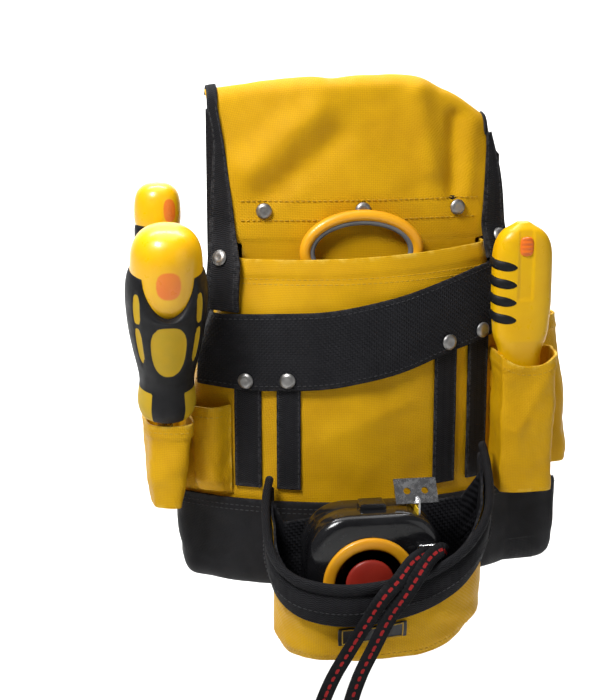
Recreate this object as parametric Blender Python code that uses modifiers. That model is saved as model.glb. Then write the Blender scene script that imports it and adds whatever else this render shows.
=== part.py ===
"""Electrician tool pouch with the hand tools it carries.

Standalone Blender 4.5 script: metres, +Z up, the front of the pouch faces -Y.
The origin is the centre of the belt tunnel. Sizes are written in millimetres
and turned into metres by MM when a mesh or curve is made.
"""
import math

import bmesh
import bpy
from mathutils import Matrix, Vector

MM = 0.001
GAP = 0.3             # space kept between touching pieces
FABRIC = 1.6          # coated nylon, doubled
WEB = 1.8             # webbing

# Belt tunnel
TUNNEL_HALF = 95.0
TUNNEL_TOP = 41.0
BACK_FACE = 12.0      # rear face of the back panel at its centre
BACK_THICK = 6.0
BACK_FLAT_HALF = 25.0
BACK_RADIUS = 600.0   # hip curve of the back panel outside its flat centre

# Body of the pouch
FRONT_RADIUS = 155.0
CORNER_RADIUS = 12.0
LIP_Z = -62.0
BODY_BOTTOM = -258.0
BOOT_TOP = -221.0
BOOT_BOTTOM = -278.0

# Webbing band and straps
BAND_THICK = 2.0
RIVET_HEAD = 5.0
RIVET_SHANK = 2.0
RIVET_HOLE = 2.3

# Tools
FRONT_DRIVER_TIP = Vector((-124.5, -33.0, -163.0))
FRONT_DRIVER_LEAN = math.radians(14.0)
REAR_DRIVER_TIP = Vector((-125.5, 4.0, -124.0))
KNIFE_CENTRE = Vector((96.0, -39.2, -128.0))
SCISSORS_PIVOT = Vector((-14.0, -21.8, -128.0))
TAPE_CENTRE = Vector((-6.0, -84.0, -250.5))

YELLOW = (0.95, 0.62, 0.01, 1)
BLACK = (0.02, 0.02, 0.022, 1)
STEEL = (0.6, 0.6, 0.6, 1)
ORANGE = (0.95, 0.38, 0.02, 1)
RED = (0.6, 0.05, 0.04, 1)
GREY = (0.3, 0.31, 0.33, 1)


# ---------------------------------------------------------------- set-up

def clear_scene():
    for obj in list(bpy.data.objects):
        bpy.data.objects.remove(obj, do_unlink=True)


def make_collection(name):
    group = bpy.data.collections.new(name)
    bpy.context.scene.collection.children.link(group)
    return group


def material(name, colour, roughness, metallic=0.0):
    mat = bpy.data.materials.new(name)
    mat.use_nodes = True
    shader = mat.node_tree.nodes["Principled BSDF"]
    shader.inputs["Base Color"].default_value = colour
    shader.inputs["Roughness"].default_value = roughness
    shader.inputs["Metallic"].default_value = metallic
    return mat


clear_scene()
PARTS = make_collection("electrician_tool_pouch")
CUTTERS = make_collection("cutters")


def add_object(name, data, colour, roughness=0.8, metallic=0.0):
    obj = bpy.data.objects.new(name, data)
    data.materials.append(material(name, colour, roughness, metallic))
    PARTS.objects.link(obj)
    return obj


def as_cutter(obj):
    for group in list(obj.users_collection):
        group.objects.unlink(obj)
    CUTTERS.objects.link(obj)
    obj.hide_render = True
    obj.display_type = "WIRE"
    return obj


def bare_object(name, data):
    obj = bpy.data.objects.new(name, data)
    CUTTERS.objects.link(obj)
    obj.hide_render = True
    obj.display_type = "WIRE"
    return obj


def boolean(obj, other, operation):
    mod = obj.modifiers.new(operation.lower(), "BOOLEAN")
    mod.operation = operation
    mod.solver = "EXACT"
    mod.object = other


def bevel(obj, width, segments=2, angle=40):
    mod = obj.modifiers.new("bevel", "BEVEL")
    mod.width = width * MM
    mod.segments = segments
    mod.limit_method = "ANGLE"
    mod.angle_limit = math.radians(angle)


# ---------------------------------------------------------------- shapes

def grid_mesh(name, rows, floor=False, ring=False):
    """A sheet through rows of points, top row first, seen from outside left to right."""
    mesh = bpy.data.meshes.new(name)
    bm = bmesh.new()
    verts = [[bm.verts.new(Vector(p) * MM) for p in row] for row in rows]
    count = len(rows[0])
    spans = count if ring else count - 1
    for top, low in zip(verts, verts[1:]):
        for i in range(spans):
            j = (i + 1) % count
            bm.faces.new((top[i], low[i], low[j], top[j]))
    if floor:
        bm.faces.new(verts[-1][::-1])
    bm.normal_update()
    bm.to_mesh(mesh)
    bm.free()
    return mesh


def sheet(name, rows, thickness, colour, roughness=0.85, floor=False, ring=False):
    """The outer surface in rows, thickened inwards."""
    obj = add_object(name, grid_mesh(name, rows, floor, ring), colour, roughness)
    mod = obj.modifiers.new("thickness", "SOLIDIFY")
    mod.thickness = thickness * MM
    mod.offset = -1
    return obj


def box_mesh(name, low, high):
    mesh = bpy.data.meshes.new(name)
    bm = bmesh.new()
    bmesh.ops.create_cube(bm, size=1.0)
    low = Vector(low) * MM
    high = Vector(high) * MM
    size = high - low
    bmesh.ops.scale(bm, vec=size, verts=bm.verts)
    bmesh.ops.translate(bm, vec=(low + high) / 2, verts=bm.verts)
    bm.to_mesh(mesh)
    bm.free()
    return mesh


def rod_mesh(name, radius, start, end, sides=16):
    start = Vector(start) * MM
    end = Vector(end) * MM
    along = end - start
    mesh = bpy.data.meshes.new(name)
    bm = bmesh.new()
    bmesh.ops.create_cone(bm, cap_ends=True, segments=sides, radius1=radius * MM,
                          radius2=radius * MM, depth=along.length)
    turn = Vector((0, 0, 1)).rotation_difference(along).to_matrix().to_4x4()
    place = Matrix.Translation((start + end) / 2) @ turn
    bmesh.ops.transform(bm, matrix=place, verts=bm.verts)
    bm.to_mesh(mesh)
    bm.free()
    return mesh


def lathe(name, profile, colour, roughness, metallic=0.0, steps=24):
    """A turned piece round local Z from (radius, height) points, top to bottom."""
    mesh = bpy.data.meshes.new(name)
    bm = bmesh.new()
    verts = [bm.verts.new((radius * MM, 0, height * MM)) for radius, height in profile]
    for first, second in zip(verts, verts[1:]):
        bm.edges.new((first, second))
    bm.to_mesh(mesh)
    bm.free()
    obj = add_object(name, mesh, colour, roughness, metallic)
    mod = obj.modifiers.new("turn", "SCREW")
    mod.axis = "Z"
    mod.steps = steps
    mod.render_steps = steps
    mod.use_merge_vertices = True
    mod.merge_threshold = 0.00001
    return obj


def plate(name, outline, thickness, colour, roughness=0.5, metallic=0.0):
    """A flat plate from an (x, y) outline, centred on its own plane."""
    curve = bpy.data.curves.new(name, "CURVE")
    curve.dimensions = "2D"
    curve.fill_mode = "BOTH"
    curve.extrude = thickness / 2 * MM
    spline = curve.splines.new("POLY")
    spline.points.add(len(outline) - 1)
    for point, (x, y) in zip(spline.points, outline):
        point.co = (x * MM, y * MM, 0, 1)
    spline.use_cyclic_u = True
    return solid_mesh(add_object(name, curve, colour, roughness, metallic))


def tube(name, points, radius, colour, roughness=0.6, closed=False, resolution=2):
    curve = bpy.data.curves.new(name, "CURVE")
    curve.dimensions = "3D"
    curve.bevel_depth = radius * MM
    curve.bevel_resolution = resolution
    curve.use_fill_caps = True
    spline = curve.splines.new("POLY")
    spline.points.add(len(points) - 1)
    for point, place in zip(spline.points, points):
        point.co = (*(Vector(place) * MM), 1)
    spline.use_cyclic_u = closed
    return add_object(name, curve, colour, roughness)


def facing_front(centre):
    """Stand a flat plate up: its x stays, its y becomes up, its front faces -Y."""
    return Matrix.Translation(Vector(centre) * MM) @ Matrix.Rotation(math.pi / 2, 4, "X")


def rounded_outline(half_wide, half_high, radius, steps=6):
    """A rounded rectangle, one arc at each corner."""
    points = []
    for corner, (sx, sy) in enumerate(((1, 1), (-1, 1), (-1, -1), (1, -1))):
        for step in range(steps + 1):
            angle = math.pi / 2 * (corner + step / steps)
            points.append((sx * (half_wide - radius) + radius * math.cos(angle),
                           sy * (half_high - radius) + radius * math.sin(angle)))
    return points


def solid_mesh(obj):
    """Swap a curve object for a mesh object of the same shape, so that it can be cut."""
    bpy.context.view_layer.update()
    mesh = bpy.data.meshes.new_from_object(obj.evaluated_get(bpy.context.evaluated_depsgraph_get()))
    bm = bmesh.new()
    bm.from_mesh(mesh)
    bmesh.ops.remove_doubles(bm, verts=bm.verts, dist=0.00001)
    bmesh.ops.recalc_face_normals(bm, faces=bm.faces)
    bm.to_mesh(mesh)
    bm.free()
    name = obj.name
    look = obj.data.materials[0]
    bpy.data.objects.remove(obj)
    solid = bpy.data.objects.new(name, mesh)
    mesh.materials.clear()
    mesh.materials.append(look)
    PARTS.objects.link(solid)
    return solid


def between(value, table):
    """Straight-line reading of a short (key, value) table."""
    if value <= table[0][0]:
        return table[0][1]
    for (a, fa), (b, fb) in zip(table, table[1:]):
        if value <= b:
            return fa + (fb - fa) * (value - a) / (b - a)
    return table[-1][1]


def spread(start, end, count):
    return [start + (end - start) * i / (count - 1) for i in range(count)]


# ---------------------------------------------------------------- body surfaces

def back_y(x):
    beyond = max(0.0, abs(x) - BACK_FLAT_HALF)
    return BACK_FACE + beyond ** 2 / (2 * BACK_RADIUS)


def body_half(z):
    """Half width of the pouch body at a height."""
    return between(z, ((-266, 110), (-250, 114), (-221, 115), (-165, 108), (-130, 99),
                       (-98, 88), (-80, 82), (-62, 77)))


def back_half(z):
    """Half width of the back panel at a height."""
    return between(z, ((-262, 112), (-250, 115), (-221, 116), (-165, 109), (-130, 100), (-100, 94)))


def crown_y(z):
    """Foremost line of the body's front panel."""
    down = min(1.0, max(0.0, (-50.0 - z) / 75.0))
    low = max(0.0, -200.0 - z) / 62.0
    return -35.0 - 9.0 * (2 * down - down ** 2) - 4.0 * low ** 2


def body_plan(z):
    """Plan of the body's outer skin: (x, y, normal x, normal y) from left to right."""
    half = body_half(z)
    turn = 0.5
    for _ in range(4):
        edge = half - CORNER_RADIUS * (1 - math.sin(turn))
        turn = math.atan(edge / FRONT_RADIUS)
    right = []
    for x in spread(0.0, edge, 10):
        lean = math.atan(x / FRONT_RADIUS)
        right.append((x, crown_y(z) + x * x / (2 * FRONT_RADIUS), math.sin(lean), -math.cos(lean)))
    cx = half - CORNER_RADIUS
    cy = right[-1][1] + CORNER_RADIUS * math.cos(turn)
    for angle in spread(turn, math.pi / 2, 5)[1:]:
        right.append((cx + CORNER_RADIUS * math.sin(angle), cy - CORNER_RADIUS * math.cos(angle),
                      math.sin(angle), -math.cos(angle)))
    right.append((half, back_y(half) - BACK_THICK - GAP, 1.0, 0.0))
    left = [(-x, y, -nx, ny) for x, y, nx, ny in reversed(right[1:])]
    return left + right


def body_point(s, z, lift):
    """A point on the body's skin at arc length s from the centre, lifted outwards."""
    plan = body_plan(z)
    middle = len(plan) // 2
    side = plan[middle:] if s >= 0 else plan[middle::-1]
    left = abs(s)
    for first, second in zip(side, side[1:]):
        step = math.dist(first[:2], second[:2])
        if left <= step:
            part = left / step
            x, y, nx, ny = (a + (b - a) * part for a, b in zip(first, second))
            size = math.hypot(nx, ny)
            return (x + lift * nx / size, y + lift * ny / size, z)
        left -= step
    x, y, nx, ny = side[-1]
    return (x + lift * nx, y + lift * ny, z)


def body_normal(s, z):
    near = Vector(body_point(s, z, 0.0))
    far = Vector(body_point(s, z, 10.0))
    return (far - near).normalized()


def tunnel_y(x):
    """Front skin of the tunnel panel below the fold."""
    return -16.0 + 12.0 * (x / TUNNEL_HALF) ** 2


def tunnel_normal(x):
    return Vector((24.0 * x / TUNNEL_HALF ** 2, -1.0, 0.0)).normalized()


def tunnel_top(x):
    if x < 0:
        return TUNNEL_TOP - 9.0 * (x / TUNNEL_HALF) ** 2
    return TUNNEL_TOP - 27.0 * (max(0.0, x - 20.0) / 75.0) ** 2


# ---------------------------------------------------------------- pouch

def make_back_panel():
    rows = []
    for z in (30, -40, -100, -130, -165, -221, -250, -262):
        half = back_half(z)
        lift = 0.0 if z < 0 else 1.0
        xs = spread(-half, -BACK_FLAT_HALF, 6) + spread(BACK_FLAT_HALF, half, 6)
        tops = [min(z, tunnel_top(x) - 8.0) if lift else z for x in xs]
        rows.append([(x, back_y(x) - BACK_THICK, top) for x, top in zip(xs, tops)])
    return sheet("back_panel", rows, BACK_THICK, BLACK)


def make_tunnel_panel():
    """Yellow panel folded over the belt: rear leg, fold, front leg down into the pocket."""
    rows = []
    columns = spread(-1.0, 1.0, 21)
    rear = BACK_FACE - BACK_THICK - GAP - FABRIC
    for z in (-4.0, 10.0):
        rows.append([(u * TUNNEL_HALF, back_y(u * TUNNEL_HALF) - BACK_FACE + rear + FABRIC,
                      min(z, tunnel_top(u * TUNNEL_HALF) - 12.0 + (z - 10.0) * 0.3)) for u in columns])
    for step in range(7):
        angle = math.pi * step / 6
        row = []
        for u in columns:
            x = u * TUNNEL_HALF
            behind = back_y(x) - BACK_FACE + rear + FABRIC
            front = tunnel_y(x)
            middle = (behind + front) / 2
            radius = (behind - front) / 2
            row.append((x, middle + radius * math.cos(angle),
                        tunnel_top(x) - 9.0 + 9.0 * math.sin(angle)))
        rows.append(row)
    for z in (0.0, -25.0, -41.0, -52.0):
        rows.append([(u * TUNNEL_HALF, tunnel_y(u * TUNNEL_HALF), z) for u in columns])
    for z in (-56.0, -74.0):
        rows.append([(u * 70.0, tunnel_y(u * 70.0), z) for u in columns])
    return sheet("belt_tunnel_panel", rows, FABRIC, YELLOW)


def make_tunnel_base_bar():
    """Padded bar that closes the tunnel's bottom and takes its rivets."""
    low, high = -50.0, -33.0
    xs = spread(-90.0, 90.0, 19)
    mesh = bpy.data.meshes.new("tunnel_base_bar")
    bm = bmesh.new()
    loops = []
    for x in xs:
        front = tunnel_y(x) + FABRIC + GAP
        rear = back_y(x) - BACK_THICK - GAP
        loops.append([bm.verts.new(Vector(p) * MM) for p in
                      ((x, front, high), (x, front, low), (x, rear, low), (x, rear, high))])
    for first, second in zip(loops, loops[1:]):
        for i in range(4):
            j = (i + 1) % 4
            bm.faces.new((first[i], first[j], second[j], second[i]))
    bm.faces.new(loops[0])
    bm.faces.new(loops[-1])
    bmesh.ops.recalc_face_normals(bm, faces=bm.faces)
    bm.to_mesh(mesh)
    bm.free()
    return add_object("tunnel_base_bar", mesh, BLACK)


def webbing_y(x, z):
    """Outer skin of the side webbing: the tunnel panel above, the pocket's corner below."""
    upper = tunnel_y(x) - GAP - WEB
    lower = -24.8 + 0.9 * (abs(x) - 80.0)
    part = min(1.0, max(0.0, (-50.0 - z) / 25.0))
    return upper + (lower - upper) * part


def webbing_normal(x, z):
    across = (webbing_y(x + 1.0, z) - webbing_y(x - 1.0, z)) / 2
    down = (webbing_y(x, z + 1.0) - webbing_y(x, z - 1.0)) / 2
    return Vector((across, -1.0, down)).normalized()


def make_side_webbing(name, side):
    """Webbing over the tunnel panel's edge, from the fold down to the band."""
    rows = []
    inner, outer = 76.5, 95.5
    xs = spread(inner, outer, 4)
    if side < 0:
        xs = [-x for x in reversed(xs)]
    for step in range(1, 7):
        angle = math.pi * step / 6
        row = []
        for x in xs:
            behind = back_y(x) - BACK_THICK - GAP
            middle = (behind + tunnel_y(x)) / 2
            radius = (behind - tunnel_y(x)) / 2 + GAP + WEB
            row.append((x, middle + radius * math.cos(angle),
                        tunnel_top(x) - 9.0 + (9.8 + GAP + WEB) * math.sin(angle)))
        rows.append(row)
    end = between(side * 88.0, BAND_TOP) + 1.0
    for z in spread(-2.0, end, 13):
        shift = 2.5 * max(0.0, (-50.0 - z) / 45.0)
        rows.append([(x + side * shift, webbing_y(x, z), z) for x in xs])
    return sheet(name, rows, WEB, BLACK, 0.9)


def make_main_panel():
    """Front and sides of the main pocket, lip at the top."""
    rows = []
    for z in (LIP_Z, -71, -80, -89, -98, -110, -122, -140, -165, -195, -221, -245, BODY_BOTTOM):
        rows.append([(x, y, z) for x, y, _, _ in body_plan(z)])
    return sheet("main_pocket_panel", rows, FABRIC, YELLOW)


def make_boot():
    """Moulded base that wraps the front, sides and floor."""
    wall = 2.2
    rows = []
    for z, lift in ((BOOT_TOP, 0.0), (-235, 0.0), (-250, 0.0), (-262, 0.0), (-270, -0.8),
                    (-275, -2.5), (BOOT_BOTTOM, -6.0)):
        rows.append([(x + (GAP + wall + lift) * nx, y + (GAP + wall + lift) * ny, z)
                     for x, y, nx, ny in body_plan(max(z, -262.0))])
    return sheet("base_boot", rows, wall, BLACK, 0.7, floor=True)


BAND_TOP = ((-110, -104), (-98, -103), (-25, -99), (18, -91), (60, -79), (96, -70))
BAND_LOW = ((-110, -148), (-76, -150), (-25, -147.5), (18, -139), (49, -128), (76, -122), (96, -116))
STRAPS = (("strap_left_outer", -76.0, 17.5, -213.0), ("strap_left_inner", -50.0, 15.0, -213.0),
          ("strap_right_inner", 50.0, 15.5, -213.0), ("strap_right_outer", 74.5, 15.5, -213.0))


def make_tool_band():
    rows = []
    lift = GAP + WEB + GAP + BAND_THICK
    for part in spread(0.0, 1.0, 6):
        row = []
        for s in spread(-108.0, 100.0, 27):
            z = between(s, BAND_TOP) * (1 - part) + between(s, BAND_LOW) * part
            row.append(body_point(s, z, lift))
        rows.append(row)
    return sheet("tool_band", rows, BAND_THICK, BLACK, 0.9)


def make_straps():
    straps = {}
    for name, centre, width, end in STRAPS:
        start = between(centre, BAND_LOW) + 16.0
        rows = []
        for z in spread(start, end, 9):
            rows.append([body_point(s, z, GAP + WEB)
                         for s in spread(centre - width / 2, centre + width / 2, 3)])
        straps[name] = sheet(name, rows, WEB, BLACK, 0.9)
    return straps


def patch_pocket(name, s_range, lip, bottom, depth, dip=0.0):
    """A pocket sewn on the body: flanges on the skin, a standing wall between."""
    rows = []
    first, last = s_range
    base = GAP + FABRIC + 0.3
    for z_part in spread(0.0, 1.0, 7):
        row = []
        reach = depth * (1.0 - 0.15 * z_part) if z_part < 0.99 else depth * 0.5
        for i, part in enumerate((0.0, 0.07, 0.12, 0.22, 0.38, 0.5, 0.62, 0.78, 0.88, 0.93, 1.0)):
            rise = (0, 0, 0.55, 0.88, 1, 1, 1, 0.88, 0.55, 0, 0)[i]
            top = lip - dip * rise
            z = top + (bottom - top) * z_part
            row.append(body_point(first + (last - first) * part, z, base + reach * rise))
        rows.append(row)
    row = []
    for part in (0.0, 0.07, 0.12, 0.22, 0.38, 0.5, 0.62, 0.78, 0.88, 0.93, 1.0):
        row.append(body_point(first + (last - first) * part, bottom - 1.5, base))
    rows.append(row)
    return sheet(name, rows, FABRIC, YELLOW)


def side_pocket(name, side, y_range, levels):
    """A deep pocket that stands off the side wall: levels are (height, outer x), top first."""
    front, rear = y_range
    rows = []
    (top, _), (bottom, _) = levels[0], levels[-1]
    for z in spread(top, bottom, 6):
        inner = back_half(z) + GAP + 0.4
        outer = between(z, tuple(reversed(levels)))
        out = outer - inner
        loop = [(inner, rear), (inner + out * 0.75, rear - 1.0), (outer, rear - 7.0),
                (outer, front + 8.0), (inner + out * 0.75, front + 1.0), (inner, front)]
        row = [(side * x, y, z) for x, y in loop]
        if side < 0:
            row = row[::-1]
        rows.append(row[::-1])
    return sheet(name, rows, FABRIC, YELLOW, floor=True, ring=True)


def make_knife_pocket():
    """Deep front pocket at the right corner, its lip dipped in the middle."""
    front = ((82.2, -46.0, 0.0), (83.0, -52.0, 1.0), (91.0, -54.5, 5.0), (99.0, -55.0, 6.0),
             (107.0, -54.5, 5.0), (115.0, -51.5, 1.0), (118.0, -44.0, 0.0), (118.5, -34.0, 0.0),
             (117.5, -25.0, 0.0))
    top = -129.0
    low = -217.0
    rows = []
    for part in spread(0.0, 1.0, 8):
        row = []
        for x, y, dip in front:
            z = top - dip + (low - top + dip) * part
            row.append((x, -24.0 + (y + 24.0) * (1.0 - 0.04 * part ** 3), z))
        for s in (101.5, 97.5, 93.5, 89.5, 86.0):
            z = top + (low - top) * part
            row.append(body_point(s, z, GAP + 0.15))
        rows.append(row)
    return sheet("pocket_right_front", rows, FABRIC, YELLOW, floor=True, ring=True)


def hoop_path():
    """Top edge of the tape pocket's webbing hoop, left end to right end."""
    return [(-62.0, -39.0, -203.0), (-65.5, -52.0, -208.0), (-68.0, -68.0, -216.0),
            (-69.0, -85.0, -225.0), (-66.0, -100.0, -233.5), (-58.0, -111.0, -239.5),
            (-46.0, -118.0, -242.5), (-30.0, -122.0, -244.0), (-12.0, -123.5, -243.0),
            (8.0, -123.0, -240.0), (26.0, -120.0, -235.5), (43.0, -113.5, -228.5),
            (56.0, -103.0, -219.5), (65.0, -89.0, -211.0), (70.0, -73.0, -203.0),
            (72.5, -57.0, -194.0), (73.5, -41.0, -186.0)]


RIM_HIGH = 27.0       # at the front
RIM_END_HIGH = 22.0
RIM_THICK = 3.0


def make_hoop():
    rows = []
    path = hoop_path()
    for part, bulge in ((0.0, 0.0), (0.18, 1.0), (0.5, 1.4), (0.82, 1.0), (1.0, 0.0)):
        row = []
        for i, (x, y, z) in enumerate(path):
            round_front = math.sin(math.pi * i / (len(path) - 1))
            drop = part * (RIM_END_HIGH + (RIM_HIGH - RIM_END_HIGH) * round_front)
            before = Vector(path[max(0, i - 1)])
            after = Vector(path[min(len(path) - 1, i + 1)])
            along = (after - before).normalized()
            out = Vector((along.y, -along.x, 0)).normalized()
            row.append((x + out.x * bulge, y + out.y * bulge, z - drop))
        rows.append(row)
    return sheet("tape_pocket_rim", rows, RIM_THICK, BLACK, 0.9)


BAG_REAR = -58.5
BAG_INSET = FABRIC + 0.8      # from the walls' outside to the rear and floor


def bag_low_z(x):
    """Underside of the bag, which rises towards the right."""
    return -297.0 + 12.0 * (max(0.0, x - 15.0) / 45.0) ** 2


def bag_loops():
    """Top and bottom lines of the tape pocket's walls, left rear round the front."""
    inset = RIM_THICK + GAP + 0.3
    top = []
    path = hoop_path()[1:-1]
    for i, (x, y, z) in enumerate(path):
        before = Vector(path[max(0, i - 1)])
        after = Vector(path[min(len(path) - 1, i + 1)])
        along = (after - before).normalized()
        out = Vector((along.y, -along.x, 0)).normalized()
        top.append((x - out.x * inset, y - out.y * inset, z - 5.0))
    rear = BAG_REAR
    top[0] = (top[0][0], rear, top[0][2] - 4.0)
    top[-1] = (top[-1][0], rear, top[-1][2] - 8.0)
    low = []
    for x, y, _ in top:
        low_x = x * 0.97
        low_y = rear if y > -60 else -60.0 + (y + 60.0) * 0.88
        low.append((low_x, low_y, bag_low_z(low_x)))
    return top, low


def bag_rows():
    top, low = bag_loops()
    rows = []
    for part, pinch in ((0.0, 0.0), (0.25, 0.0), (0.5, 0.0), (0.75, 0.0), (0.93, 0.3), (1.0, 2.5)):
        row = []
        for (tx, ty, tz), (lx, ly, lz) in zip(top, low):
            x = tx + (lx - tx) * part
            y = ty + (ly - ty) * part
            shrink = 1.0 - pinch / 60.0
            row.append((x * shrink, -88.0 + (y + 88.0) * shrink, tz + (lz - tz) * part))
        rows.append(row)
    return rows


def make_bag_rear(rows):
    """Rear wall, let in between the ends of the side walls."""
    flat = []
    for row in rows:
        left, right = row[0], row[-1]
        span = left[0] - right[0] + 2 * BAG_INSET
        flat.append([(right[0] - BAG_INSET + span * part, BAG_REAR,
                      right[2] + (left[2] - right[2]) * part) for part in spread(0.0, 1.0, 9)])
    sheet("tape_pocket_rear", flat, FABRIC, YELLOW)


def make_bag_floor(line):
    """Floor, let in between the walls' lower edges."""
    inner = []
    for i, (x, y, _) in enumerate(line):
        before = Vector(line[max(0, i - 1)])
        after = Vector(line[min(len(line) - 1, i + 1)])
        out = Vector((after.y - before.y, before.x - after.x, 0)).normalized()
        inner.append((x - out.x * BAG_INSET, y - out.y * BAG_INSET))
    first = max(x for x, _ in inner[:3])
    last = min(x for x, _ in inner[-3:])
    front = sorted(inner[3:-2])
    rows = []
    for part in spread(0.0, 1.0, 5):
        row = []
        for x in spread(first, last, 13):
            near = between(x, front)
            row.append((x, near + (BAG_REAR - BAG_INSET - near) * part, bag_low_z(x)))
        rows.append(row)
    sheet("tape_pocket_floor", rows, FABRIC, YELLOW)


def make_bag():
    rows = bag_rows()
    make_bag_rear(rows)
    make_bag_floor(rows[-1])
    return sheet("tape_pocket_bag", rows, FABRIC, YELLOW)


def bag_front_y(x, z):
    """Front skin of the bag near its lower middle."""
    rows = bag_rows()
    best = 0.0
    for top, low in zip(rows, rows[1:]):
        for i in range(4, 11):
            a, b, c, d = top[i], top[i + 1], low[i], low[i + 1]
            if a[0] <= x <= b[0] and min(c[2], d[2]) <= z <= max(a[2], b[2]):
                across = (x - a[0]) / (b[0] - a[0])
                high = a[2] + (b[2] - a[2]) * across
                deep = c[2] + (d[2] - c[2]) * across
                down = (high - z) / (high - deep)
                near = a[1] + (b[1] - a[1]) * across
                far = c[1] + (d[1] - c[1]) * across
                best = min(best, near + (far - near) * down)
    return best


def make_label():
    thick = 0.8
    rows = []
    for level in (-273.5, -278.0, -282.5):
        places = [(x, level + 0.1 * (x + 11.0)) for x in spread(-31.0, 9.0, 6)]
        rows.append([(x, bag_front_y(x, z) - GAP - 0.2 - thick, z) for x, z in places])
    return sheet("label_patch", rows, thick, BLACK, 0.5)


def rivet(name, place, normal, stack, steps=16):
    """Domed rivet with its shank through a stack and a washer behind it."""
    head = GAP
    profile = [(0.0, head + 2.3), (2.2, head + 2.0), (3.9, head + 1.1), (RIVET_HEAD, head),
               (RIVET_SHANK, head), (RIVET_SHANK, -stack - GAP), (3.6, -stack - GAP),
               (3.6, -stack - GAP - 0.9), (0.0, -stack - GAP - 0.9)]
    obj = lathe(name, profile, STEEL, 0.35, 1.0, steps)
    turn = Vector((0, 0, 1)).rotation_difference(normal).to_matrix().to_4x4()
    obj.matrix_world = Matrix.Translation(Vector(place) * MM) @ turn
    return obj


def drill(place, normal, radius, reach_out, reach_in, *targets):
    start = Vector(place) + Vector(normal) * reach_out
    end = Vector(place) - Vector(normal) * reach_in
    cutter = bare_object("hole", rod_mesh("hole", radius, start, end, 12))
    for target in targets:
        boolean(target, cutter, "DIFFERENCE")


def make_rivets(tunnel_panel, base_bar, main_panel, band, straps, webbings):
    for name, x in (("left", -61.0), ("centre", 0.0), ("right", 61.0)):
        place = (x, tunnel_y(x), -41.0)
        normal = tunnel_normal(x)
        rivet("rivet_tunnel_" + name, place, normal, FABRIC + 4.0)
        drill(place, normal, RIVET_HOLE, 3.0, 4.0, tunnel_panel)
        drill(place, normal, 4.0, -FABRIC + 1.0, 8.5, base_bar)
    lift = GAP + WEB + GAP + BAND_THICK
    for name, s, z in (("strap_left_outer", -76.0, -143.5), ("strap_left_inner", -50.0, -142.0),
                       ("strap_right_inner", 50.0, -121.0), ("strap_right_outer", 74.5, -116.0)):
        place = body_point(s, z, lift)
        normal = body_normal(s, z)
        rivet("rivet_" + name, place, normal, lift + FABRIC)
        drill(place, normal, RIVET_HOLE, 3.0, 8.0, band, straps[name], main_panel)
    for name, side in (("left", -1), ("right", 1)):
        x = side * 88.5
        z = -69.0 if side < 0 else -60.0
        normal = webbing_normal(x, z)
        place = Vector((x, webbing_y(x, z), z)) + normal * 0.7
        rivet("rivet_webbing_" + name, place, normal, WEB + 0.8)
        drill(place, normal, RIVET_HOLE, 3.0, 3.0, webbings[name])


def build_pouch():
    make_back_panel()
    tunnel_panel = make_tunnel_panel()
    base_bar = make_tunnel_base_bar()
    webbings = {"left": make_side_webbing("tunnel_webbing_left", -1),
                "right": make_side_webbing("tunnel_webbing_right", 1)}
    main_panel = make_main_panel()
    make_boot()
    band = make_tool_band()
    straps = make_straps()
    patch_pocket("pocket_left_front", (-113.0, -86.5), -160.0, -216.0, 14.0)
    make_knife_pocket()
    side_pocket("pocket_left_side", -1, (-45.0, 17.0), ((-166.0, 137.0), (-219.0, 134.0)))
    side_pocket("pocket_right_side", 1, (-10.0, 17.0), ((-113.0, 129.0), (-165.0, 138.0), (-212.0, 140.0)))
    make_hoop()
    make_bag()
    make_label()
    make_rivets(tunnel_panel, base_bar, main_panel, band, straps, webbings)


# ---------------------------------------------------------------- screwdrivers

def driver_frame(tip, lean):
    return Matrix.Translation(tip * MM) @ Matrix.Rotation(lean, 4, "X")


def make_driver(name, frame, handle, grip, shaft, window=None):
    """Handle core, soft grip sleeve and steel shaft on one axis."""
    core = lathe(name + "_handle", handle, YELLOW, 0.35)
    core.matrix_world = frame
    sleeve = lathe(name + "_grip", grip, BLACK, 0.7)
    sleeve.matrix_world = frame
    blade = lathe(name + "_shaft", shaft, STEEL, 0.3, 1.0, 12)
    blade.matrix_world = frame
    if window is None:
        return
    depth, height, wide, high, count = window
    for i in range(count):
        turn = Matrix.Rotation(2 * math.pi * (i + 0.5) / count - math.pi / 2, 4, "Z")
        mesh = bpy.data.meshes.new("window")
        bm = bmesh.new()
        bmesh.ops.create_uvsphere(bm, u_segments=12, v_segments=8, radius=1.0)
        bmesh.ops.scale(bm, vec=(depth * MM, wide * MM, high * MM), verts=bm.verts)
        bmesh.ops.translate(bm, vec=(20.0 * MM, 0, height * MM), verts=bm.verts)
        bmesh.ops.transform(bm, matrix=frame @ turn, verts=bm.verts)
        bm.to_mesh(mesh)
        bm.free()
        boolean(sleeve, bare_object("window", mesh), "DIFFERENCE")


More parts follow.
